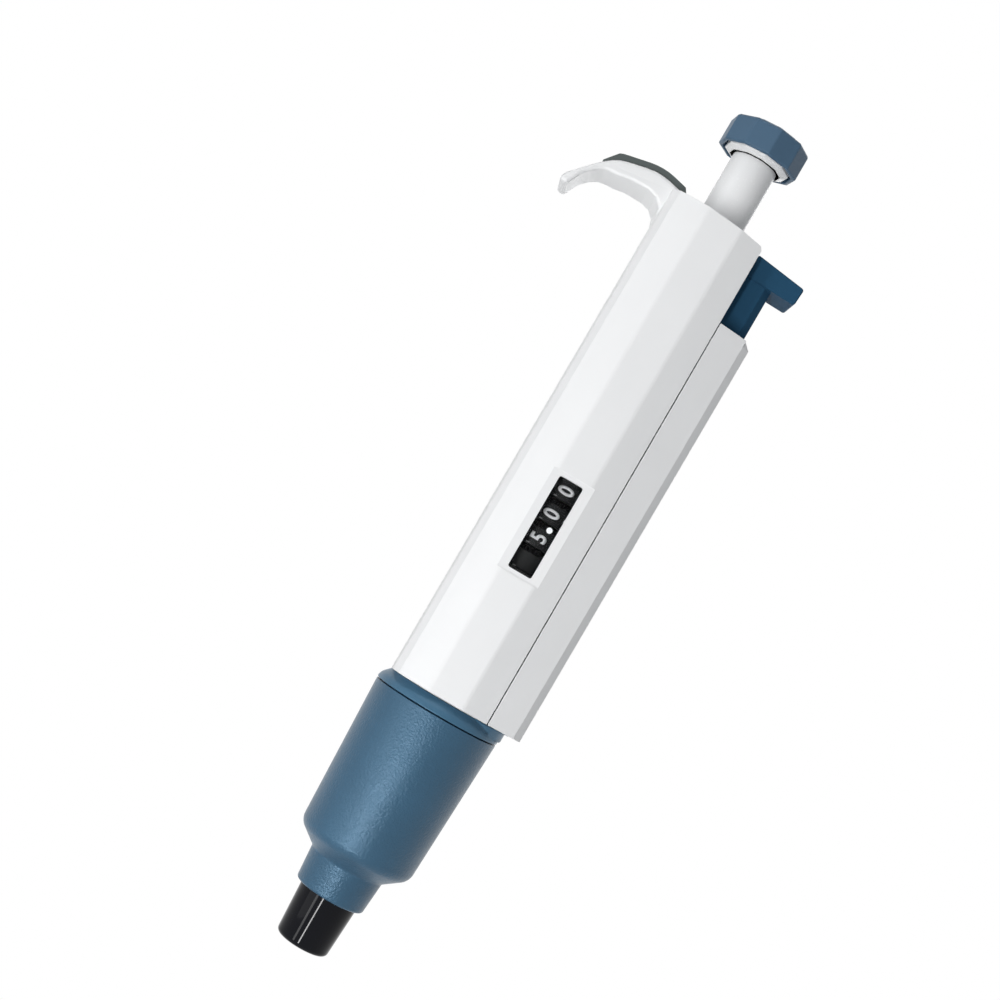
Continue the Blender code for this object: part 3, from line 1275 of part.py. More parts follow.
def build():
    clear_scene()
    make_main_housing()
    make_ejector_cover()
    make_hook_inlay()
    make_window_lens()
    make_top_bush()
    make_tube_wiper()
    make_nozzle()
    make_nozzle_filter()
    make_cylinder()
    make_rod_guide()
    make_stop_plate()
    make_counter_frame()
    make_pinion_shaft()
    make_setting_nut()
    make_blowout_spring()
    make_ejector_spring()
    cup_group = carry("blowout_slide", (0, 0, BRIM_BOTTOM), [make_blowout_cup(), make_main_spring()])
    train = [make_piston(), make_piston_seal(), make_piston_rod(), make_thrust_collar()]
    train_group = carry("plunger_slide", (0, 0, PISTON_BOTTOM), train, cup_group)
    knob = [make_plunger_tube(), make_spindle(), make_knob_core(), make_knob_ring(), make_knob_cap()]
    carry("volume_turn", (0, 0, TUBE_BOTTOM), knob, train_group)
    carry("setting_turn", (0, 0, SCREW_BOTTOM), [make_setting_screw()])
    for place_in_row, value in enumerate(("tens", "units", "tenths", "hundredths")):
        driven = value != "hundredths"
        wheel = [make_wheel(f"wheel_{value}", place_in_row, driven)]
        if driven:
            pinion = make_pinion(f"pinion_{value}", place_in_row)
            carry(f"{value}_pinion_turn", (0, PINION_Y, COUNTER_MIDDLE), [pinion])
        else:
            wheel.append(make_drive_sleeve())
        carry(f"{value}_turn", (0, 0, COUNTER_MIDDLE), wheel)
    ejector = [make_ejector_button(), make_ejector_rod(), make_ejector_ring(), make_ejector_sleeve()]
    carry("eject_slide", (EJECT_ROD_X, 0, STEM_BOTTOM), ejector)


build()
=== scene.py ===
import math
import bpy
from mathutils import Matrix, Vector


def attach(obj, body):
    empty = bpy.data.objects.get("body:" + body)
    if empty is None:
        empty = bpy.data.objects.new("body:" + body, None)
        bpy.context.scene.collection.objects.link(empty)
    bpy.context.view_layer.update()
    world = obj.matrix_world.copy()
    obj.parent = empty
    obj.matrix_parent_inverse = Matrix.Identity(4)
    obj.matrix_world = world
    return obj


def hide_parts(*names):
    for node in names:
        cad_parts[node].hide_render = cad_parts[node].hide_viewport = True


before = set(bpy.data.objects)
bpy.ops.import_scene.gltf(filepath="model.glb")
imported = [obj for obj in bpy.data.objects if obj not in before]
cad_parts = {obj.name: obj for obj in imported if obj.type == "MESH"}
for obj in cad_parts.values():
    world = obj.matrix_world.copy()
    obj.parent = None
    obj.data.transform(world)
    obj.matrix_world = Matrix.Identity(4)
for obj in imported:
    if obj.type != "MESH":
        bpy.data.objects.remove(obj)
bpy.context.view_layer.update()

MM = 0.001


# Camera: 450 mm in front of the axis, a little to the window's left and below it, and
# rolled so that the pipette leans to the right.
eye = Vector((-13.15, -450.0, 96.8)) * MM
aim = Vector((-13.15, 0.0, 122.3)) * MM
lean = math.radians(30.34)
ahead = (aim - eye).normalized()
level = ahead.cross(Vector((0, 0, 1))).normalized()
upright = level.cross(ahead)
across = level * math.cos(lean) + upright * math.sin(lean)
above = upright * math.cos(lean) - level * math.sin(lean)
bpy.ops.object.select_all(action="DESELECT")
bpy.ops.object.camera_add(location=eye)
camera = bpy.context.active_object
camera.name = "camera"
camera.rotation_euler = Matrix((across, above, -ahead)).transposed().to_euler()
camera.data.sensor_width = 36.0
camera.data.lens = 63.2
bpy.context.scene.camera = camera


# Studio: a large soft lamp from the left, a tall narrow one beside it, a strip nearly in
# front that draws the thin line of light on polished pieces, and large lamps above and
# behind. The pale surround is plain white where it is seen, mirrored or seen through.
bpy.context.scene.view_settings.view_transform = "Standard"


def soft_lamp(name, place, width, height, power):
    """An area lamp that faces the axis, halfway between its own height and mid-height."""
    mid_height = 0.12
    bpy.ops.object.select_all(action="DESELECT")
    bpy.ops.object.light_add(type="AREA", location=place)
    lamp = bpy.context.active_object
    lamp.name = name
    lamp.data.shape = "RECTANGLE"
    lamp.data.size = width
    lamp.data.size_y = height
    lamp.data.energy = power
    towards = Vector((0, 0, (place[2] + mid_height) / 2)) - Vector(place)
    lamp.rotation_euler = towards.to_track_quat("-Z", "Y").to_euler()


def shown_white(nodes, links):
    """A value that is 1 for rays seen directly, mirrored or through the pane, else 0."""
    rays = nodes.new("ShaderNodeLightPath")
    direct = nodes.new("ShaderNodeMath")
    direct.operation = "MAXIMUM"
    mirrored = nodes.new("ShaderNodeMath")
    mirrored.operation = "MAXIMUM"
    links.new(rays.outputs["Is Camera Ray"], direct.inputs[0])
    links.new(rays.outputs["Is Transmission Ray"], direct.inputs[1])
    links.new(direct.outputs["Value"], mirrored.inputs[0])
    links.new(rays.outputs["Is Glossy Ray"], mirrored.inputs[1])
    return mirrored.outputs["Value"]


soft_lamp("key_lamp", (-0.90, -0.62, 0.12), 0.7, 1.0, 2.2)
soft_lamp("side_lamp", (-0.60, -0.80, -0.11), 0.14, 0.7, 1.8)
soft_lamp("strip_lamp", (-0.15, -0.70, -0.17), 0.052, 0.34, 2.7)
soft_lamp("top_lamp", (-0.2, -0.4, 1.0), 0.8, 0.8, 2.2)
soft_lamp("back_lamp", (0.25, 1.05, 0.5), 0.9, 0.9, 3.0)

surround = bpy.data.worlds.new("surround")
bpy.context.scene.world = surround
surround.use_nodes = True
nodes = surround.node_tree.nodes
links = surround.node_tree.links
nodes.clear()
even_light = nodes.new("ShaderNodeBackground")
even_light.inputs["Color"].default_value = (0.94, 0.97, 1.0, 1)
# Its strength: an even part that leans a little to the left and front, and a part that
# comes from behind only.
heading = nodes.new("ShaderNodeTexCoord")
lean_of_light = nodes.new("ShaderNodeVectorMath")
lean_of_light.operation = "DOT_PRODUCT"
lean_of_light.inputs[1].default_value = (-0.10, -0.09, 0.02)
strength = nodes.new("ShaderNodeMath")
strength.operation = "ADD"
strength.inputs[1].default_value = 0.11
behind = nodes.new("ShaderNodeVectorMath")
behind.operation = "DOT_PRODUCT"
behind.inputs[1].default_value = (0.16, 0.62, 0.08)
from_behind = nodes.new("ShaderNodeMath")
from_behind.operation = "MAXIMUM"
from_behind.inputs[1].default_value = 0.0
all_round = nodes.new("ShaderNodeMath")
all_round.operation = "ADD"
links.new(heading.outputs["Generated"], lean_of_light.inputs[0])
links.new(heading.outputs["Generated"], behind.inputs[0])
links.new(lean_of_light.outputs["Value"], strength.inputs[0])
links.new(behind.outputs["Value"], from_behind.inputs[0])
links.new(strength.outputs["Value"], all_round.inputs[0])
links.new(from_behind.outputs["Value"], all_round.inputs[1])
links.new(all_round.outputs["Value"], even_light.inputs["Strength"])
plain_white = nodes.new("ShaderNodeBackground")
plain_white.inputs["Color"].default_value = (1, 1, 1, 1)
choice = nodes.new("ShaderNodeMixShader")
result = nodes.new("ShaderNodeOutputWorld")
links.new(shown_white(nodes, links), choice.inputs["Fac"])
links.new(even_light.outputs["Background"], choice.inputs[1])
links.new(plain_white.outputs["Background"], choice.inputs[2])
links.new(choice.outputs["Shader"], result.inputs["Surface"])

# Floor: matt pale card below the nozzle. It takes the pipette's shadow near the middle
# and runs out into plain white, so that no horizon shows.
bpy.ops.object.select_all(action="DESELECT")
floor_height = -0.55
bpy.ops.mesh.primitive_plane_add(size=8.0, location=(0, 0, floor_height))
floor = bpy.context.active_object
floor.name = "floor"
bpy.ops.object.transform_apply(location=True)
card = bpy.data.materials.new("pale_card")
card.use_nodes = True
nodes = card.node_tree.nodes
links = card.node_tree.links
nodes.clear()
spot = nodes.new("ShaderNodeTexCoord")
away = nodes.new("ShaderNodeVectorMath")
away.operation = "LENGTH"
runout = nodes.new("ShaderNodeMapRange")
runout.interpolation_type = "SMOOTHSTEP"
runout.inputs["From Min"].default_value = 0.12
runout.inputs["From Max"].default_value = 0.42
runout.inputs["To Min"].default_value = 0.8
runout.inputs["To Max"].default_value = 1.0
seen = nodes.new("ShaderNodeMath")
seen.operation = "MULTIPLY"
matt = nodes.new("ShaderNodeBsdfDiffuse")
matt.inputs["Color"].default_value = (0.8, 0.8, 0.8, 1)
white = nodes.new("ShaderNodeEmission")
white.inputs["Color"].default_value = (1, 1, 1, 1)
choice = nodes.new("ShaderNodeMixShader")
result = nodes.new("ShaderNodeOutputMaterial")
links.new(spot.outputs["Object"], away.inputs[0])
links.new(away.outputs["Value"], runout.inputs["Value"])
links.new(shown_white(nodes, links), seen.inputs[0])
links.new(runout.outputs["Result"], seen.inputs[1])
links.new(seen.outputs["Value"], choice.inputs["Fac"])
links.new(matt.outputs["BSDF"], choice.inputs[1])
links.new(white.outputs["Emission"], choice.inputs[2])
links.new(choice.outputs["Shader"], result.inputs["Surface"])
floor.data.materials.append(card)


# Main housing: one injection moulding in white, with the hook, the window's recess and
# the threaded spigot. Its long edges are eased, its skin is satin.
def moulded(name, colour, rough, grain, depth, drift=0.03, gloss=0.5, tinge=(1, 1, 1)):
    """Moulded plastic or rubber: a fine grain of the given size and depth, faint drift.

    gloss is how strongly it reflects, and tinge the colour of its reflections.
    """
    paint = bpy.data.materials.new(name)
    paint.use_nodes = True
    nodes = paint.node_tree.nodes
    links = paint.node_tree.links
    skin = nodes["Principled BSDF"]
    skin.inputs["Specular IOR Level"].default_value = gloss
    skin.inputs["Specular Tint"].default_value = (*tinge, 1)
    spot = nodes.new("ShaderNodeTexCoord")
    cloud = nodes.new("ShaderNodeTexNoise")
    cloud.inputs["Scale"].default_value = 70.0
    cloud.inputs["Detail"].default_value = 3.0
    tint = nodes.new("ShaderNodeValToRGB")
    tint.color_ramp.elements[0].position = 0.3
    tint.color_ramp.elements[0].color = (*[c * (1 - drift) for c in colour], 1)
    tint.color_ramp.elements[1].position = 0.7
    tint.color_ramp.elements[1].color = (*[min(c * (1 + drift), 1.0) for c in colour], 1)
    speck = nodes.new("ShaderNodeTexNoise")
    speck.inputs["Scale"].default_value = 0.5 / grain
    speck.inputs["Detail"].default_value = 3.0
    speck.inputs["Roughness"].default_value = 0.6
    sheen = nodes.new("ShaderNodeMapRange")
    sheen.inputs["To Min"].default_value = rough * 0.8
    sheen.inputs["To Max"].default_value = rough * 1.2
    relief = nodes.new("ShaderNodeBump")
    relief.inputs["Distance"].default_value = depth
    links.new(spot.outputs["Object"], cloud.inputs["Vector"])
    links.new(spot.outputs["Object"], speck.inputs["Vector"])
    links.new(cloud.outputs["Fac"], tint.inputs["Fac"])
    links.new(tint.outputs["Color"], skin.inputs["Base Color"])
    links.new(speck.outputs["Fac"], sheen.inputs["Value"])
    links.new(sheen.outputs["Result"], skin.inputs["Roughness"])
    links.new(speck.outputs["Fac"], relief.inputs["Height"])
    links.new(relief.outputs["Normal"], skin.inputs["Normal"])
    return paint


def dressed(
    node, name, body, paint, ease, angle=30.0, segments=3, soften=0.0, clamp=False,
    arch=0.0, trim=None,
):
    """A merged copy of a node with its sharp edges eased, shown in the node's place.

    soften first rounds the long upright edges that lie furthest from the axis in Y. arch
    lifts the outer part of the hook into a gentle curve, at most by this much. trim is a
    point and a direction: what lies beyond the plane there is cut off.
    """
    piece = bpy.data.objects.new(name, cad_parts[node].data.copy())
    bpy.context.collection.objects.link(piece)
    bpy.ops.object.select_all(action="DESELECT")
    piece.select_set(True)
    bpy.context.view_layer.objects.active = piece
    bpy.ops.object.mode_set(mode="EDIT")
    bpy.ops.mesh.select_all(action="SELECT")
    bpy.ops.mesh.customdata_custom_splitnormals_clear()
    bpy.ops.mesh.remove_doubles(threshold=1e-6)
    bpy.ops.mesh.dissolve_limited(angle_limit=math.radians(0.5))
    bpy.ops.object.mode_set(mode="OBJECT")
    if soften:
        tall, plumb, slack = 20 * MM, 0.01 * MM, 0.05 * MM
        outermost = max(abs(v.co.y) for v in piece.data.vertices) - slack
        bpy.ops.object.mode_set(mode="EDIT")
        bpy.ops.mesh.select_mode(type="EDGE")
        bpy.ops.mesh.select_all(action="DESELECT")
        bpy.ops.object.mode_set(mode="OBJECT")
        for edge in piece.data.edges:
            a, b = (piece.data.vertices[i].co for i in edge.vertices)
            outside = min(abs(a.y), abs(b.y)) > outermost
            edge.select = outside and abs(a.z - b.z) > tall and abs(a.x - b.x) < plumb
        bpy.ops.object.mode_set(mode="EDIT")
        bpy.ops.mesh.bevel(offset=soften, segments=4, affect="EDGES")
        bpy.ops.object.mode_set(mode="OBJECT")
    if arch:
        near, reach, strips, fullness = 27.5 * MM, 14.1 * MM, 12, 1.5
        bpy.ops.object.mode_set(mode="EDIT")
        for strip in range(1, strips):
            cut = (-near - reach * strip / strips, 0, 0)
            bpy.ops.mesh.select_all(action="SELECT")
            bpy.ops.mesh.bisect(plane_co=cut, plane_no=(1, 0, 0))
        bpy.ops.object.mode_set(mode="OBJECT")
        for vert in piece.data.vertices:
            share = (-vert.co.x - near) / reach
            if 0 < share < 1:
                vert.co.z += arch * math.sin(math.pi * share) ** fullness
    if trim:
        bpy.ops.object.mode_set(mode="EDIT")
        bpy.ops.mesh.select_all(action="SELECT")
        spot, direction = trim
        bpy.ops.mesh.bisect(
            plane_co=spot, plane_no=direction, clear_outer=True, use_fill=True
        )
        bpy.ops.object.mode_set(mode="OBJECT")
    if ease:
        easing = piece.modifiers.new("ease", "BEVEL")
        easing.width = ease
        easing.segments = segments
        easing.limit_method = "ANGLE"
        easing.angle_limit = math.radians(angle)
        easing.use_clamp_overlap = clamp
        easing.harden_normals = False
        bpy.ops.object.modifier_apply(modifier=easing.name)
    bpy.ops.object.shade_smooth_by_angle(angle=math.radians(max(angle, 24.0)))
    firm = piece.modifiers.new("firm", "WEIGHTED_NORMAL")
    firm.keep_sharp = True
    bpy.ops.object.modifier_apply(modifier=firm.name)
    piece.data.materials.clear()
    piece.data.materials.append(paint)
    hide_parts(node)
    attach(piece, body)


white_satin = moulded("white_satin", (0.83, 0.835, 0.84), 0.4, 0.25 * MM, 0.003 * MM, 0.008)
hook_arch = 1.0 * MM
dressed(
    "main_housing", "handle_shell", "housing", white_satin, 0.22 * MM, 14.0,
    soften=0.6 * MM, clamp=True, arch=hook_arch,
)

# Nozzle: black polypropylene cone, polished so that tips seal on it, its end rounded. A
# white porous plug fills the bore and keeps liquid out of the pump.
def spun(name, outline, rounds, body, paint, steps=96):
    """A turned piece: a closed outline of (radius, height) in mm, spun about the axis.

    rounds lists the radius and height of each edge to round, and how far the round reaches.
    """
    bpy.ops.object.select_all(action="DESELECT")
    bpy.ops.mesh.primitive_plane_add(size=MM)
    piece = bpy.context.active_object
    piece.name = name
    bpy.ops.object.mode_set(mode="EDIT")
    bpy.ops.mesh.select_mode(type="VERT")
    bpy.ops.mesh.select_all(action="SELECT")
    bpy.ops.mesh.merge(type="CENTER")
    radius, height = outline[0]
    bpy.ops.transform.translate(value=(radius * MM, 0, height * MM))
    for near, far in zip(outline, outline[1:]):
        step = ((far[0] - near[0]) * MM, 0, (far[1] - near[1]) * MM)
        bpy.ops.mesh.extrude_region_move(TRANSFORM_OT_translate={"value": step})
    bpy.ops.mesh.select_all(action="SELECT")
    bpy.ops.mesh.edge_face_add()
    bpy.ops.mesh.delete(type="ONLY_FACE")
    bpy.ops.mesh.select_all(action="SELECT")
    bpy.ops.mesh.spin(steps=steps, angle=2 * math.pi, center=(0, 0, 0), axis=(0, 0, 1))
    bpy.ops.mesh.select_all(action="SELECT")
    bpy.ops.mesh.remove_doubles(threshold=1e-6)
    bpy.ops.mesh.normals_make_consistent(inside=False)
    for radius, height, reach in rounds:
        bpy.ops.mesh.select_all(action="DESELECT")
        bpy.ops.object.mode_set(mode="OBJECT")
        for edge in piece.data.edges:
            ends = [piece.data.vertices[i].co for i in edge.vertices]
            gaps = [
                abs(math.hypot(p.x, p.y) - radius * MM) + abs(p.z - height * MM) for p in ends
            ]
            edge.select = max(gaps) < 0.01 * MM
        bpy.ops.object.mode_set(mode="EDIT")
        bpy.ops.mesh.select_mode(type="EDGE")
        bpy.ops.mesh.bevel(offset=reach * MM, segments=6, affect="EDGES")
    bpy.ops.object.mode_set(mode="OBJECT")
    bpy.ops.object.shade_smooth_by_angle(angle=math.radians(30))
    piece.data.materials.append(paint)
    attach(piece, body)
    return piece


black_polish = moulded(
    "black_polish", (0.002, 0.0025, 0.005), 0.06, 0.6 * MM, 0.00003 * MM, gloss=0.14
)
nozzle_outline = [
    (4.5, 0.0), (7.15, 0.0), (7.9, 14.1), (7.9, 23.35), (5.6, 23.35), (5.6, 28.85),
    (2.2, 28.85), (2.2, 8.3), (4.5, 8.3),
]
tip_cone = spun(
    "tip_cone",
    nozzle_outline,
    [(7.15, 0.0, 1.2), (4.5, 0.0, 0.25)],
    "housing",
    black_polish,
)
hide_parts("nozzle")

porous_white = moulded("porous_white", (0.80, 0.80, 0.77), 0.85, 0.12 * MM, 0.05 * MM, 0.06)
dressed("nozzle_filter", "filter_plug", "housing", porous_white, 0.15 * MM)

# Air pump: grey barrel screwed into the housing, steel rod, and a white piston whose black
# rubber ring seals against the polished bore.
def metal(name, colour, rough, pitch, drift=0.08):
    """Turned or drawn metal, with fine tool marks across the pipette's axis."""
    paint = bpy.data.materials.new(name)
    paint.use_nodes = True
    nodes = paint.node_tree.nodes
    links = paint.node_tree.links
    skin = nodes["Principled BSDF"]
    skin.inputs["Metallic"].default_value = 1.0
    spot = nodes.new("ShaderNodeTexCoord")
    marks = nodes.new("ShaderNodeTexWave")
    marks.bands_direction = "Z"
    marks.inputs["Scale"].default_value = 0.16 / pitch
    marks.inputs["Distortion"].default_value = 1.5
    marks.inputs["Detail"].default_value = 2.0
    cloud = nodes.new("ShaderNodeTexNoise")
    cloud.inputs["Scale"].default_value = 150.0
    tint = nodes.new("ShaderNodeValToRGB")
    tint.color_ramp.elements[0].color = (*[c * (1 - drift) for c in colour], 1)
    tint.color_ramp.elements[1].color = (*[min(c * (1 + drift), 1.0) for c in colour], 1)
    sheen = nodes.new("ShaderNodeMapRange")
    sheen.inputs["To Min"].default_value = rough - 0.08
    sheen.inputs["To Max"].default_value = rough + 0.08
    relief = nodes.new("ShaderNodeBump")
    relief.inputs["Distance"].default_value = 0.004 * MM
    links.new(spot.outputs["Object"], marks.inputs["Vector"])
    links.new(spot.outputs["Object"], cloud.inputs["Vector"])
    links.new(cloud.outputs["Fac"], tint.inputs["Fac"])
    links.new(tint.outputs["Color"], skin.inputs["Base Color"])
    links.new(marks.outputs["Fac"], sheen.inputs["Value"])
    links.new(sheen.outputs["Result"], skin.inputs["Roughness"])
    links.new(marks.outputs["Fac"], relief.inputs["Height"])
    links.new(relief.outputs["Normal"], skin.inputs["Normal"])
    return paint


def painted(paint, *names):
    """Nodes whose shape is right as it is, given their finish."""
    for name in names:
        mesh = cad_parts[name].data
        mesh.materials.clear()
        mesh.materials.append(paint)


moulded_grey = moulded("moulded_grey", (0.30, 0.31, 0.33), 0.5, 0.3 * MM, 0.008 * MM)
piston_white = moulded("piston_white", (0.78, 0.78, 0.76), 0.35, 0.3 * MM, 0.002 * MM)
seal_rubber = moulded("seal_rubber", (0.018, 0.018, 0.019), 0.6, 0.15 * MM, 0.006 * MM, 0.1)
ground_steel = metal("ground_steel", (0.56, 0.57, 0.59), 0.24, 0.25 * MM)
painted(moulded_grey, "cylinder")
painted(piston_white, "piston")
painted(seal_rubber, "piston_seal")
painted(ground_steel, "piston_rod")

# Two-stage stop on the housing's floor: grey guide and stop plate, brass cup and collar,
# and two springs of hard-drawn steel wire, a stiff one in the cup and a soft one round it.
turned_brass = metal("turned_brass", (0.72, 0.53, 0.24), 0.26, 0.3 * MM)
spring_steel = metal("spring_steel", (0.45, 0.45, 0.46), 0.32, 0.1 * MM, 0.15)
painted(moulded_grey, "rod_guide", "stop_plate")
painted(turned_brass, "blowout_cup", "thrust_collar")
painted(spring_steel, "blowout_spring", "main_spring")

# Counter: black frame with its shroud, four black drums on a black sleeve, and white
# nylon carry pinions on a steel shaft. The spindle of hexagonal steel turns the sleeve.
counter_black = moulded("counter_black", (0.012, 0.012, 0.013), 0.5, 0.2 * MM, 0.01 * MM, 0.1, 0.2)
pinion_nylon = moulded("pinion_nylon", (0.74, 0.73, 0.69), 0.42, 0.2 * MM, 0.003 * MM)
painted(counter_black, "counter_frame", "drive_sleeve")
painted(pinion_nylon, "pinion_tenths", "pinion_units", "pinion_tens")
painted(ground_steel, "pinion_shaft", "spindle")
drum_black = moulded("drum_black", (0.011, 0.012, 0.013), 0.45, 0.12 * MM, 0.012 * MM, 0.3, 0.17)
for step in ("hundredths", "tenths", "units", "tens"):
    dressed(f"wheel_{step}", f"drum_{step}", step, drum_black, 0.15 * MM, 40.0, 2)

# Numerals: white ink on the drums, ten to a drum, read up the pipette with their tops to
# the left. The lowest drum has a blank where it stands, and beside it. Faint grey ticks
# lie along each drum's lower edge.
numeral_ink = moulded("numeral_ink", (0.93, 0.94, 0.96), 0.55, 0.1 * MM, 0.002 * MM)
tick_grey = moulded("tick_grey", (0.30, 0.30, 0.31), 0.55, 0.1 * MM, 0.002 * MM)


def numerals(name, body, middle, figures, stray=0.0):
    """Ten figures round a drum; each next one lies 36 degrees towards the ejector.

    stray is how far the print lies off its place round the drum, in mm.
    """
    radius = 9.515 * MM
    size_up, size_along = 6.0 * MM, 4.5 * MM
    strips, strip_height, lowest = 9, 0.09, -0.04
    tick_place, tick_length, tick_drop, tick_height = 1.9, 0.9, 2.2, 0.26
    pieces = []
    for place, figure in enumerate(figures):
        turn = math.radians(36.0 * place) + stray * MM / radius
        if figure != " ":
            bpy.ops.object.select_all(action="DESELECT")
            bpy.ops.object.text_add()
            print_mark = bpy.context.active_object
            print_mark.data.body = figure
            print_mark.data.offset = 0.028
            print_mark.data.resolution_u = 5
            bpy.ops.object.convert(target="MESH")
            bpy.ops.object.mode_set(mode="EDIT")
            for strip in range(1, strips):
                cut = (0, strip_height * strip + lowest, 0)
                bpy.ops.mesh.select_all(action="SELECT")
                bpy.ops.mesh.bisect(plane_co=cut, plane_no=(0, 1, 0))
            bpy.ops.mesh.select_all(action="SELECT")
            bpy.ops.mesh.remove_doubles(threshold=1e-4)
            bpy.ops.object.mode_set(mode="OBJECT")
            points = [v.co.copy() for v in print_mark.data.vertices]
            centre_x = (min(p.x for p in points) + max(p.x for p in points)) / 2
            centre_y = (min(p.y for p in points) + max(p.y for p in points)) / 2
            for vert in print_mark.data.vertices:
                angle = (vert.co.y - centre_y) * size_up / radius - turn
                height = middle * MM + (vert.co.x - centre_x) * size_along
                vert.co = (-radius * math.sin(angle), -radius * math.cos(angle), height)
            print_mark.data.materials.append(numeral_ink)
            pieces.append(print_mark)
        bpy.ops.object.select_all(action="DESELECT")
        bpy.ops.mesh.primitive_plane_add(size=1.0)
        tick = bpy.context.active_object
        for vert in tick.data.vertices:
            angle = (tick_place + tick_length * vert.co.y) * MM / radius - turn
            height = (middle - tick_drop + tick_height * vert.co.x) * MM
            vert.co = (-radius * math.sin(angle), -radius * math.cos(angle), height)
        tick.data.materials.append(tick_grey)
        pieces.append(tick)
    bpy.ops.object.select_all(action="DESELECT")
    for piece in pieces:
        piece.select_set(True)
    bpy.context.view_layer.objects.active = pieces[0]
    bpy.ops.object.join()
    print_ring = bpy.context.active_object
    print_ring.name = name
    film = print_ring.modifiers.new("film", "SOLIDIFY")
    film.thickness = 0.03 * MM
    film.offset = 1.0
    bpy.ops.object.modifier_apply(modifier=film.name)
    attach(print_ring, body)


numerals("print_hundredths", "hundredths", 132.1, "0505050505", 0.12)
numerals("print_tenths", "tenths", 125.3, "0987654321", -0.2)
numerals("print_units", "units", 118.5, "5432109876")
numerals("print_tens", "tens", 111.7, "  8765432 ")

# Window: a clear polycarbonate pane set just behind the housing's face, with the decimal
# point printed on its inner side.
clear_pane = bpy.data.materials.new("clear_pane")
clear_pane.use_nodes = True
nodes = clear_pane.node_tree.nodes
links = clear_pane.node_tree.links
skin = nodes["Principled BSDF"]
skin.inputs["Base Color"].default_value = (0.93, 0.96, 0.97, 1)
skin.inputs["Transmission Weight"].default_value = 1.0
skin.inputs["IOR"].default_value = 1.3
skin.inputs["Alpha"].default_value = 0.15
spot = nodes.new("ShaderNodeTexCoord")
haze = nodes.new("ShaderNodeTexNoise")
haze.inputs["Scale"].default_value = 300.0
polish = nodes.new("ShaderNodeMapRange")
polish.inputs["To Min"].default_value = 0.02
polish.inputs["To Max"].default_value = 0.09
links.new(spot.outputs["Object"], haze.inputs["Vector"])
links.new(haze.outputs["Fac"], polish.inputs["Value"])
links.new(polish.outputs["Result"], skin.inputs["Roughness"])
dressed("window_lens", "window_pane", "housing", clear_pane, 0.12 * MM)
bpy.ops.object.select_all(action="DESELECT")
bpy.ops.mesh.primitive_cylinder_add(vertices=40, radius=0.78 * MM, depth=0.04 * MM)
point = bpy.context.active_object
point.name = "decimal_point"
point_place = (1.3 * MM, -14.57 * MM, 121.1 * MM)
bpy.ops.transform.rotate(value=math.pi / 2, orient_axis="X", center_override=(0, 0, 0))
bpy.ops.transform.translate(value=point_place)
bpy.ops.object.transform_apply(location=True, rotation=True, scale=True)
easing = point.modifiers.new("ease", "BEVEL")
easing.width = 0.01 * MM
bpy.ops.object.modifier_apply(modifier=easing.name)
point.data.materials.append(numeral_ink)
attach(point, "housing")

# Volume stop: a hollow brass screw that the knob turns, in a nut of grey moulded plastic
# that is keyed into the housing.
painted(moulded_grey, "setting_nut")
painted(turned_brass, "setting_screw")

# Top bush: grey moulded bearing, pressed into the handle's top, in which the tube slides,
# with a rubber wiper that keeps dirt out.
dressed("top_bush", "tube_bearing", "housing", moulded_grey, 0.12 * MM, 40.0, 2)
dressed("tube_wiper", "wiper_ring", "housing", seal_rubber, 0.1 * MM, 40.0, 2)

# Plunger tube and knob: glossy white tube, white cup moulded over its end, and a slate
# grip ring of ten flats with a low cap, both pressed on.
white_gloss = moulded("white_gloss", (0.84, 0.845, 0.85), 0.26, 0.3 * MM, 0.001 * MM, 0.008)
knob_slate = moulded("knob_slate", (0.066, 0.127, 0.200), 0.42, 0.2 * MM, 0.012 * MM, gloss=0.2)
dressed("plunger_tube", "plunger_stem", "knob", white_gloss, 0.12 * MM, 30.0, 2)
dressed("knob_core", "knob_cup", "knob", white_gloss, 0.25 * MM, 25.0)
dressed("knob_ring", "knob_grip", "knob", knob_slate, 0.3 * MM, 20.0)
dressed("knob_cap", "knob_lid", "knob", knob_slate, 0.2 * MM, 30.0)

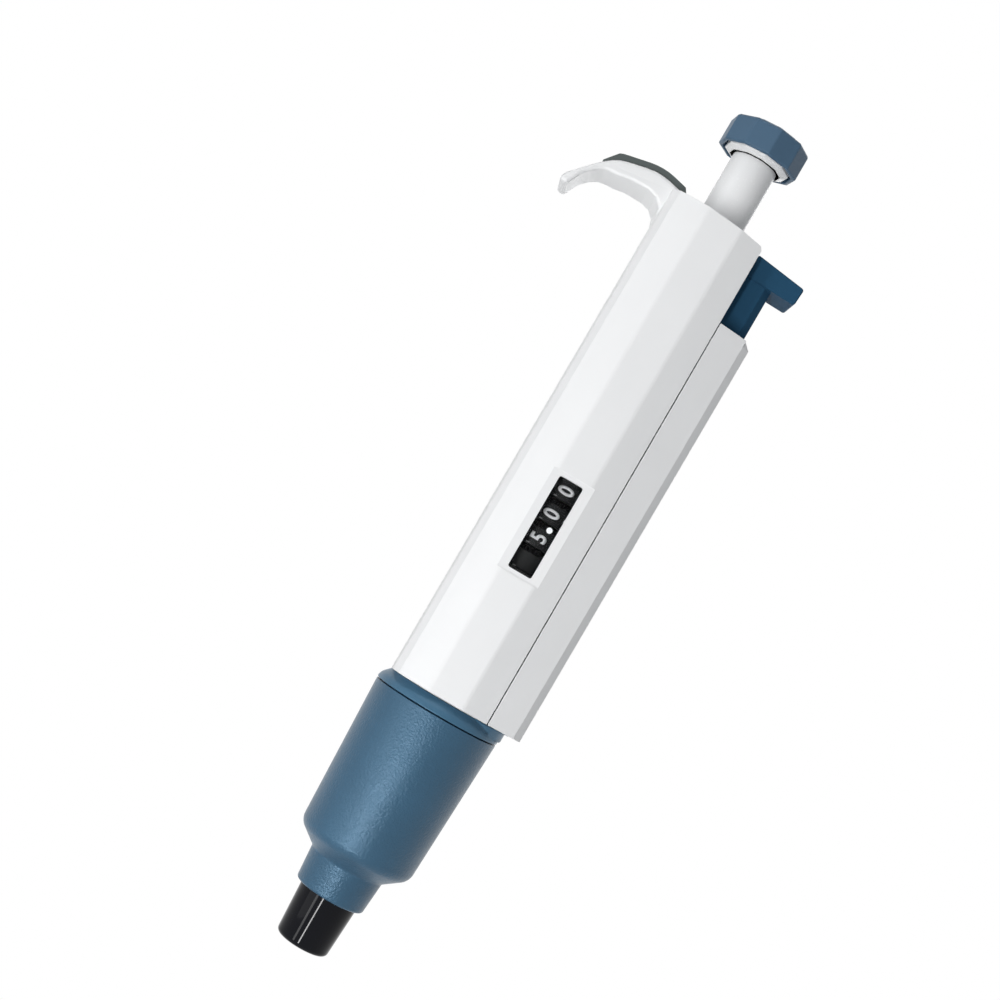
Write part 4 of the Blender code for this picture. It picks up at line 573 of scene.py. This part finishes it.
# Hook inlay: soft grey-green elastomer set into the hook's back. It follows the hook's
# arch, its edges are rounded over and its outer end is cut at a slant.
grip_elastomer = moulded(
    "grip_elastomer", (0.075, 0.09, 0.088), 0.4, 0.2 * MM, 0.006 * MM, gloss=0.35
)
pad_end = ((-34.3 * MM, 0, 210.9 * MM), (-0.77, 0, 0.64))
dressed(
    "hook_inlay", "hook_pad", "housing", grip_elastomer, 0.3 * MM, 35.0, 4,
    clamp=True, arch=hook_arch, trim=pad_end,
)

# Ejector: dark blue moulded button on a steel rod, returned by a light spring. The rod
# runs under a white cover that snaps on to the housing.
button_blue = moulded(
    "button_blue", (0.022, 0.076, 0.142), 0.5, 0.2 * MM, 0.01 * MM, gloss=0.02
)
dressed("ejector_button", "thumb_button", "ejector", button_blue, 0.25 * MM, 30.0)
painted(ground_steel, "ejector_rod")
painted(spring_steel, "ejector_spring")
dressed("ejector_cover", "rod_cover", "housing", white_satin, 0.1 * MM, 14.0)

# Ejector collar and sleeve: blue-grey polypropylene with a spark-eroded grain. The sleeve
# is turned to a soft shoulder; the collar carries the lug that the rod pushes.
cool_sheen = (0.5, 0.76, 1.0)
eroded_blue = moulded(
    "eroded_blue", (0.029, 0.082, 0.140), 0.31, 0.30 * MM, 0.16 * MM, 0.08, 0.7, cool_sheen
)
# Same plastic as the sleeve, given a lighter blue: painted light, standing in for more light
# falling on the collar from above.
collar_painted_light_blue = moulded(
    "collar_painted_light_blue", (0.042, 0.118, 0.195), 0.34, 0.30 * MM, 0.08 * MM, 0.06, 0.7, cool_sheen
)
dressed("ejector_ring", "sleeve_collar", "ejector", collar_painted_light_blue, 0.32 * MM, 40.0, 4)
sleeve_outline = [
    (8.3, 14.1), (9.5, 14.1), (10.2, 23.05), (15.8, 27.29), (17.45, 67.6), (15.6, 67.6),
    (13.95, 28.09), (8.65, 24.15),
]
strip_sleeve = spun(
    "strip_sleeve",
    sleeve_outline,
    [(9.5, 14.1, 0.7), (15.8, 27.29, 1.6), (10.2, 23.05, 0.4), (17.45, 67.6, 0.2)],
    "ejector",
    eroded_blue,
    128,
)
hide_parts("ejector_sleeve")
